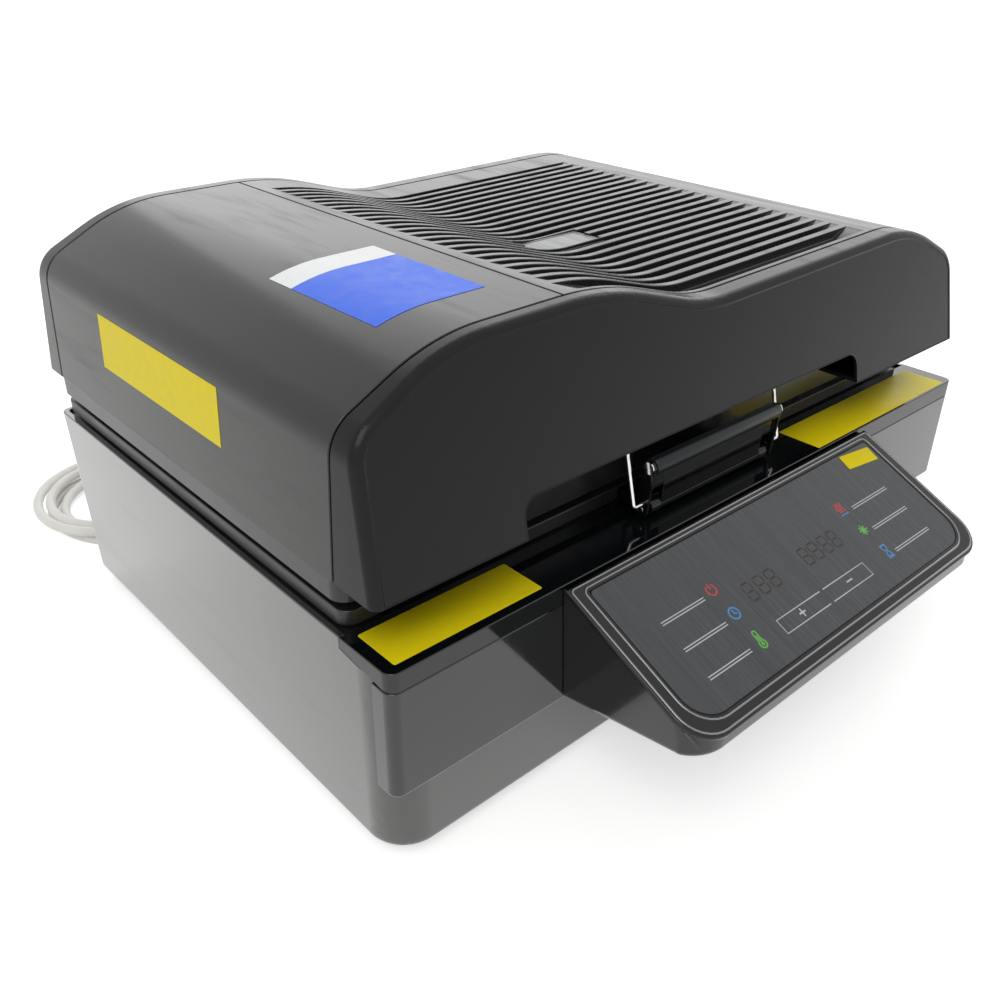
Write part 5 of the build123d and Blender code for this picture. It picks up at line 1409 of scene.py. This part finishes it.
# ---------------------------------------------------------------- heater in the lid
@dataclass
class Heater:
    """Quartz tubes with their coils, end caps, wool, reflector and circulation fans."""

    tube_left: float = -148.0
    tube_right: float = 272.0
    tube_z: float = 243.0
    rows: tuple[float, ...] = (-110.0, -60.0, -10.0, 40.0, 90.0, 140.0)
    tube_rings: Pairs = ((4.6, 0.0), (5.5, 0.6))  # radius and place of each, from either end
    coil_end: float = 15.0  # from the tube's end to the coil's
    coil_radius: float = 2.6
    coil_pitch: float = 5.0
    parts: tuple[Carried, ...] = (
        Carried("heat_reflector", "reflector_pan", Body.LID, FINISHES.reflector, 0.3, 1),
        Carried("circulation_fan_motors", "fan_motors", Body.LID, FINISHES.motor, 1.5, 3),
        Carried("fan_wheel_front", "front_fan_wheel", Body.FRONT_WHEEL, FINISHES.wheel, 0.2, 1),
        Carried("fan_wheel_rear", "rear_fan_wheel", Body.REAR_WHEEL, FINISHES.wheel, 0.2, 1),
        Carried("tube_holders", "ceramic_holders", Body.LID, FINISHES.ceramic, 1.0, 2),
    )

    def tubes(self) -> None:
        """Six glass tubes, with a coil of heating wire in each."""
        span = self.tube_right - self.tube_left
        far_rings = tuple((radius, span - place) for radius, place in reversed(self.tube_rings))
        glass = turned("tube_model", self.tube_rings + far_rings,
                       standing(at(self.tube_left, 0.0, self.tube_z), (1.0, 0.0, 0.0)), 20)
        glasses = repeated("quartz_tubes", glass, [(0.0, y, 0.0) for y in self.rows])
        fit_out(glasses, FINISHES.quartz, Body.LID, "quartz_glass", "heating_tubes")
        turns = int((span - 2 * self.coil_end) / self.coil_pitch)
        coil = [(self.tube_left + self.coil_end + step * self.coil_pitch / 8,
                 self.coil_radius * math.cos(step * math.pi / 4),
                 self.tube_z + self.coil_radius * math.sin(step * math.pi / 4)) for step in range(turns * 8)]
        lines = [[(x, BASE_Y + y + row, z) for x, y, z in coil] for row in self.rows]
        fit_out(wire("heating_wire", lines, 0.7, False, 0), FINISHES.filament, Body.LID, "quartz_glass")

    def wool(self) -> None:
        """Mineral wool blanket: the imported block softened, lumped and rounded at its edges."""
        blanket = packed_copy("insulation", "wool_blanket", flatten=False)
        finish_with(blanket, "REMESH", mode="VOXEL", voxel_size=0.005)
        finish_with(blanket, "SMOOTH", factor=0.5, iterations=3)
        lumps = bpy.data.textures.new("wool_lumps", "CLOUDS")
        lumps.noise_scale = 0.03
        finish_with(blanket, "DISPLACE", texture=lumps, texture_coords="LOCAL", strength=0.0022,
                    mid_level=1.0)
        fit_out(smooth(blanket, 80.0), FINISHES.wool, Body.LID, "insulation_wool", "insulation")

    def build(self) -> None:
        """Pans and fans, then the tubes and the blanket over them."""
        for part in self.parts:
            part.build()
        self.tubes()
        self.wool()


# ---------------------------------------------------------------- membrane frame
@dataclass
class MembraneFrame:
    """Frame ring with its stretched silicone membrane, clamp and hinge links."""

    width: float = 502.0
    length: float = 382.0
    middle: tuple[float, float] = (62.0, 15.0)
    top: float = 174.4
    thick: float = 0.9
    sag: float = 0.7
    basin: tuple[float, float] = (210.0, 150.0)  # half the opening that it sags over
    parts: tuple[Carried, ...] = (
        Carried("frame_ring", "press_frame", Body.FRAME, FINISHES.frame, 0.7, 2),
        Carried("membrane_clamp", "clamp_ring", Body.FRAME, FINISHES.clamp, 0.3, 1),
        Carried("frame_hinge_arms", "frame_links", Body.FRAME, FINISHES.hinge, 0.5),
        Carried("lid_hinge_arms", "lid_links", Body.LID, FINISHES.hinge, 0.5),
        Carried("hinge_brackets", "hinge_blocks", Body.BASE, FINISHES.hinge, 0.5),
    )

    def membrane(self) -> None:
        """The sheet under its clamp: flat at the rim, a slight sag over the basin."""
        deselect_all()
        bpy.ops.mesh.primitive_grid_add(x_subdivisions=48, y_subdivisions=36, size=1.0)
        sheet = named(bpy.context.object, "silicone_sheet")
        sheet.scale = (self.width * MM, self.length * MM, 1.0)
        sheet.location = at(self.middle[0], self.middle[1], self.top)
        settle(sheet)
        centre = at(self.middle[0], self.middle[1], 0.0)
        for point in sheet.data.vertices:
            across = min(1.0, abs(point.co.x - centre.x) / (self.basin[0] * MM))
            along = min(1.0, abs(point.co.y - centre.y) / (self.basin[1] * MM))
            point.co.z -= self.sag * MM * (1 - across ** 2) * (1 - along ** 2)
        finish_with(sheet, "SOLIDIFY", thickness=self.thick * MM, offset=-1.0)
        fit_out(smooth(sheet, 60.0), FINISHES.membrane, Body.FRAME, "membrane_silicone", "silicone_membrane")

    def build(self) -> None:
        """Frame and links, then the membrane."""
        for part in self.parts:
            part.build()
        self.membrane()


# ---------------------------------------------------------------- latch
@dataclass
class Latch:
    """Folded lever plate with a round grip, and the wire bail beside it."""

    grip_middle: float = -14.0
    grip_half: float = 72.95
    grip_y: float = -218.0
    grip_z: float = 210.0
    parts: tuple[Carried, ...] = (
        Carried("latch_lever", "lever_plate", Body.LEVER, FINISHES.latch, 0.35),
        Carried("latch_bracket", "lever_bracket", Body.FRAME, FINISHES.latch, 0.5),
        Carried("latch_bail", "wire_bail", Body.BAIL, FINISHES.wire, 0.0),
        Carried("latch_pin", "lever_pin", Body.FRAME, FINISHES.pin, 0.3),
    )

    def grip(self) -> None:
        """The grip: a rubbed plastic bar with eased ends and a shallow recess for its end screws."""
        long = 2 * self.grip_half
        ring = ((3.2, 0.7), (4.0, 0.7), (4.4, 0.0), (5.6, 0.0), (6.2, 0.4), (6.5, 1.2))
        back = tuple((radius, long - level) for radius, level in reversed(ring))
        place = standing(at(self.grip_middle - self.grip_half, self.grip_y, self.grip_z), (1.0, 0.0, 0.0))
        bar = turned("lever_grip", ring + back, place, 48)
        fit_out(bar, FINISHES.grip, Body.LEVER, "grip_black", "latch_grip")

    def build(self) -> None:
        """Plate, bracket and wires, then the grip."""
        for part in self.parts:
            part.build()
        self.grip()


# ---------------------------------------------------------------- chamber, pump and boards
@dataclass
class Works:
    """What the base holds: basin and seal, pump, release valve, boards and cooling fan."""

    board_x: float = -230.0
    board_y: float = -119.0
    board_z: float = 22.65
    can_places: Pairs = ((-60.0, 38.0), (-46.0, 38.0), (-60.0, 24.0), (62.0, -40.0))
    chip_places: tuple[tuple[float, float, float, float], ...] = (
        (30.0, -36.0, 12.0, 12.0), (52.0, -20.0, 7.0, 5.0), (-20.0, -42.0, 9.0, 5.0), (6.0, -42.0, 5.0, 7.0),
    )  # middle, width and depth of each
    parts: tuple[Carried, ...] = (
        Carried("deck_plate", "chamber_deck", Body.BASE, FINISHES.deck, 0.3, 1),
        Carried("vacuum_tray", "vacuum_basin", Body.BASE, FINISHES.basin, 0.4, 1),
        Carried("tray_seal", "basin_seal", Body.BASE, FINISHES.seal, 1.4, 3),
        Carried("pump_motor", "vacuum_motor", Body.BASE, FINISHES.motor, 2.0, 3),
        Carried("pump_head", "vacuum_head", Body.BASE, FINISHES.cast, 1.5, 2),
        Carried("release_valve", "vent_valve", Body.BASE, FINISHES.brass, 0.4),
        Carried("board_components", "relay_and_terminals", Body.BASE, FINISHES.display, 0.5),
        Carried("cooling_fan_rotor", "fan_rotor", Body.COOLING_FAN, FINISHES.fan, 0.3, 1),
        Carried("cooling_fan_frame", "fan_housing", Body.BASE, FINISHES.fan, 0.5, 1),
        Carried("mains_switch_body", "switch_body", Body.BASE, FINISHES.fan, 0.5),
        Carried("mains_switch_rocker", "switch_rocker", Body.ROCKER, FINISHES.rocker, 0.6),
    )

    def fins(self) -> None:
        """Cooling fins along the pump motor's top."""
        fin = plate("fin_model", (1.2, 96.0, 7.0), 0.4, standing(at(-251.0, 60.0, 121.5)), 0.2, 2)
        fins = repeated("motor_fins", fin, [(step * 5.0, 0.0, -step ** 2 * 0.28) for step in range(-4, 5)])
        fit_out(fins, FINISHES.motor, Body.BASE, "motor_paint")

    def board_parts(self) -> None:
        """Capacitors and chips soldered to the control board."""
        can = ((4.6, 0.0), (4.9, 0.6), (4.9, 1.4), (4.6, 1.8), (4.9, 2.2), (5.0, 13.2), (4.6, 14.0),
               (3.9, 13.9), (3.6, 13.7))
        cans = [turned("capacitor", can, self.on_board(x, y), 20) for x, y in self.can_places]
        fit_out(joined("capacitors", cans), FINISHES.display, Body.BASE, "display_dark")
        chips = [plate("chip", (wide, deep, 1.6), 0.3, self.on_board(x, y), 0.15, 2)
                 for x, y, wide, deep in self.chip_places]
        fit_out(joined("chips", chips), FINISHES.display, Body.BASE, "display_dark")

    def on_board(self, x: float, y: float) -> Matrix:
        """A frame on the control board, measured from its middle."""
        return standing(at(self.board_x + x, self.board_y + y, self.board_z))

    def build(self) -> None:
        """Carried pieces, then what is mounted on them."""
        for part in self.parts:
            part.build()
        self.fins()
        self.board_parts()


# ---------------------------------------------------------------- rear
@dataclass
class CordFittings:
    """Ribbed boot where the cord leaves the rear wall, and the plug at its far end."""

    start: Point = (-0.168, 0.27986, 0.03)
    way: Point = (0.0, 0.99773, -0.0659)
    nut: Pairs = ((13.0, 0.05), (13.0, 4.0), (12.2, 5.0))
    boot: Pairs = (
        (10.9, -9.3), (10.9, -5.4), (6.9, -5.4), (6.9, 0.0), (8.8, 0.1), (8.3, 5.0),
        (8.3, 5.6), (7.4, 6.4), (7.9, 7.2), (7.9, 8.8), (7.0, 9.6), (7.4, 10.4), (7.4, 12.0),
        (6.6, 12.8), (7.0, 13.6), (7.0, 15.2), (6.2, 16.0), (6.5, 16.8), (6.5, 18.4), (5.8, 19.2),
        (6.0, 20.0), (5.9, 23.0), (5.3, 24.0),
    )

    def build(self) -> None:
        """Nut and boot in line with the cord's exit, and the plug with eased edges."""
        Carried("mains_plug", "cord_plug", Body.BASE, FINISHES.cord, 2.2, 4).build()
        place = standing(Vector(self.start), self.way)
        nut = turned("boot_nut", self.nut, place, 6, 30.0)
        sleeve = turned("boot_sleeve", self.boot, place, 40, 50.0)
        fit_out(joined("cord_boot", [nut, sleeve]), FINISHES.fan, Body.BASE, "fan_plastic", "cable_gland")


# ---------------------------------------------------------------- pieces left as packed
class Frame:
    """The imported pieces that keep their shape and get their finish."""

    def dress(self) -> None:
        """Give each node the finish of its record slot."""
        finishes = FINISHES.by_slot()
        for name, slot_name in SLOTS.items():
            node = frame["nodes"][name]
            finish = finishes[slot_name]
            for slot in node.material_slots:
                slot.material = finish.material()
            log.info("%s wears %s", node.name, finish.name)


def main() -> None:
    """Build the scene in order: the studio, each sub-assembly, then the cord that carries the plug."""
    logging.basicConfig(level=logging.INFO, format="%(name)s: %(message)s")
    Studio().build()
    for part in (Base, ControlBox, Lid, Heater, MembraneFrame, Latch, Works, CordFittings, MainsCord):
        part().build()
    Frame().dress()


if __name__ == "__main__":
    main()
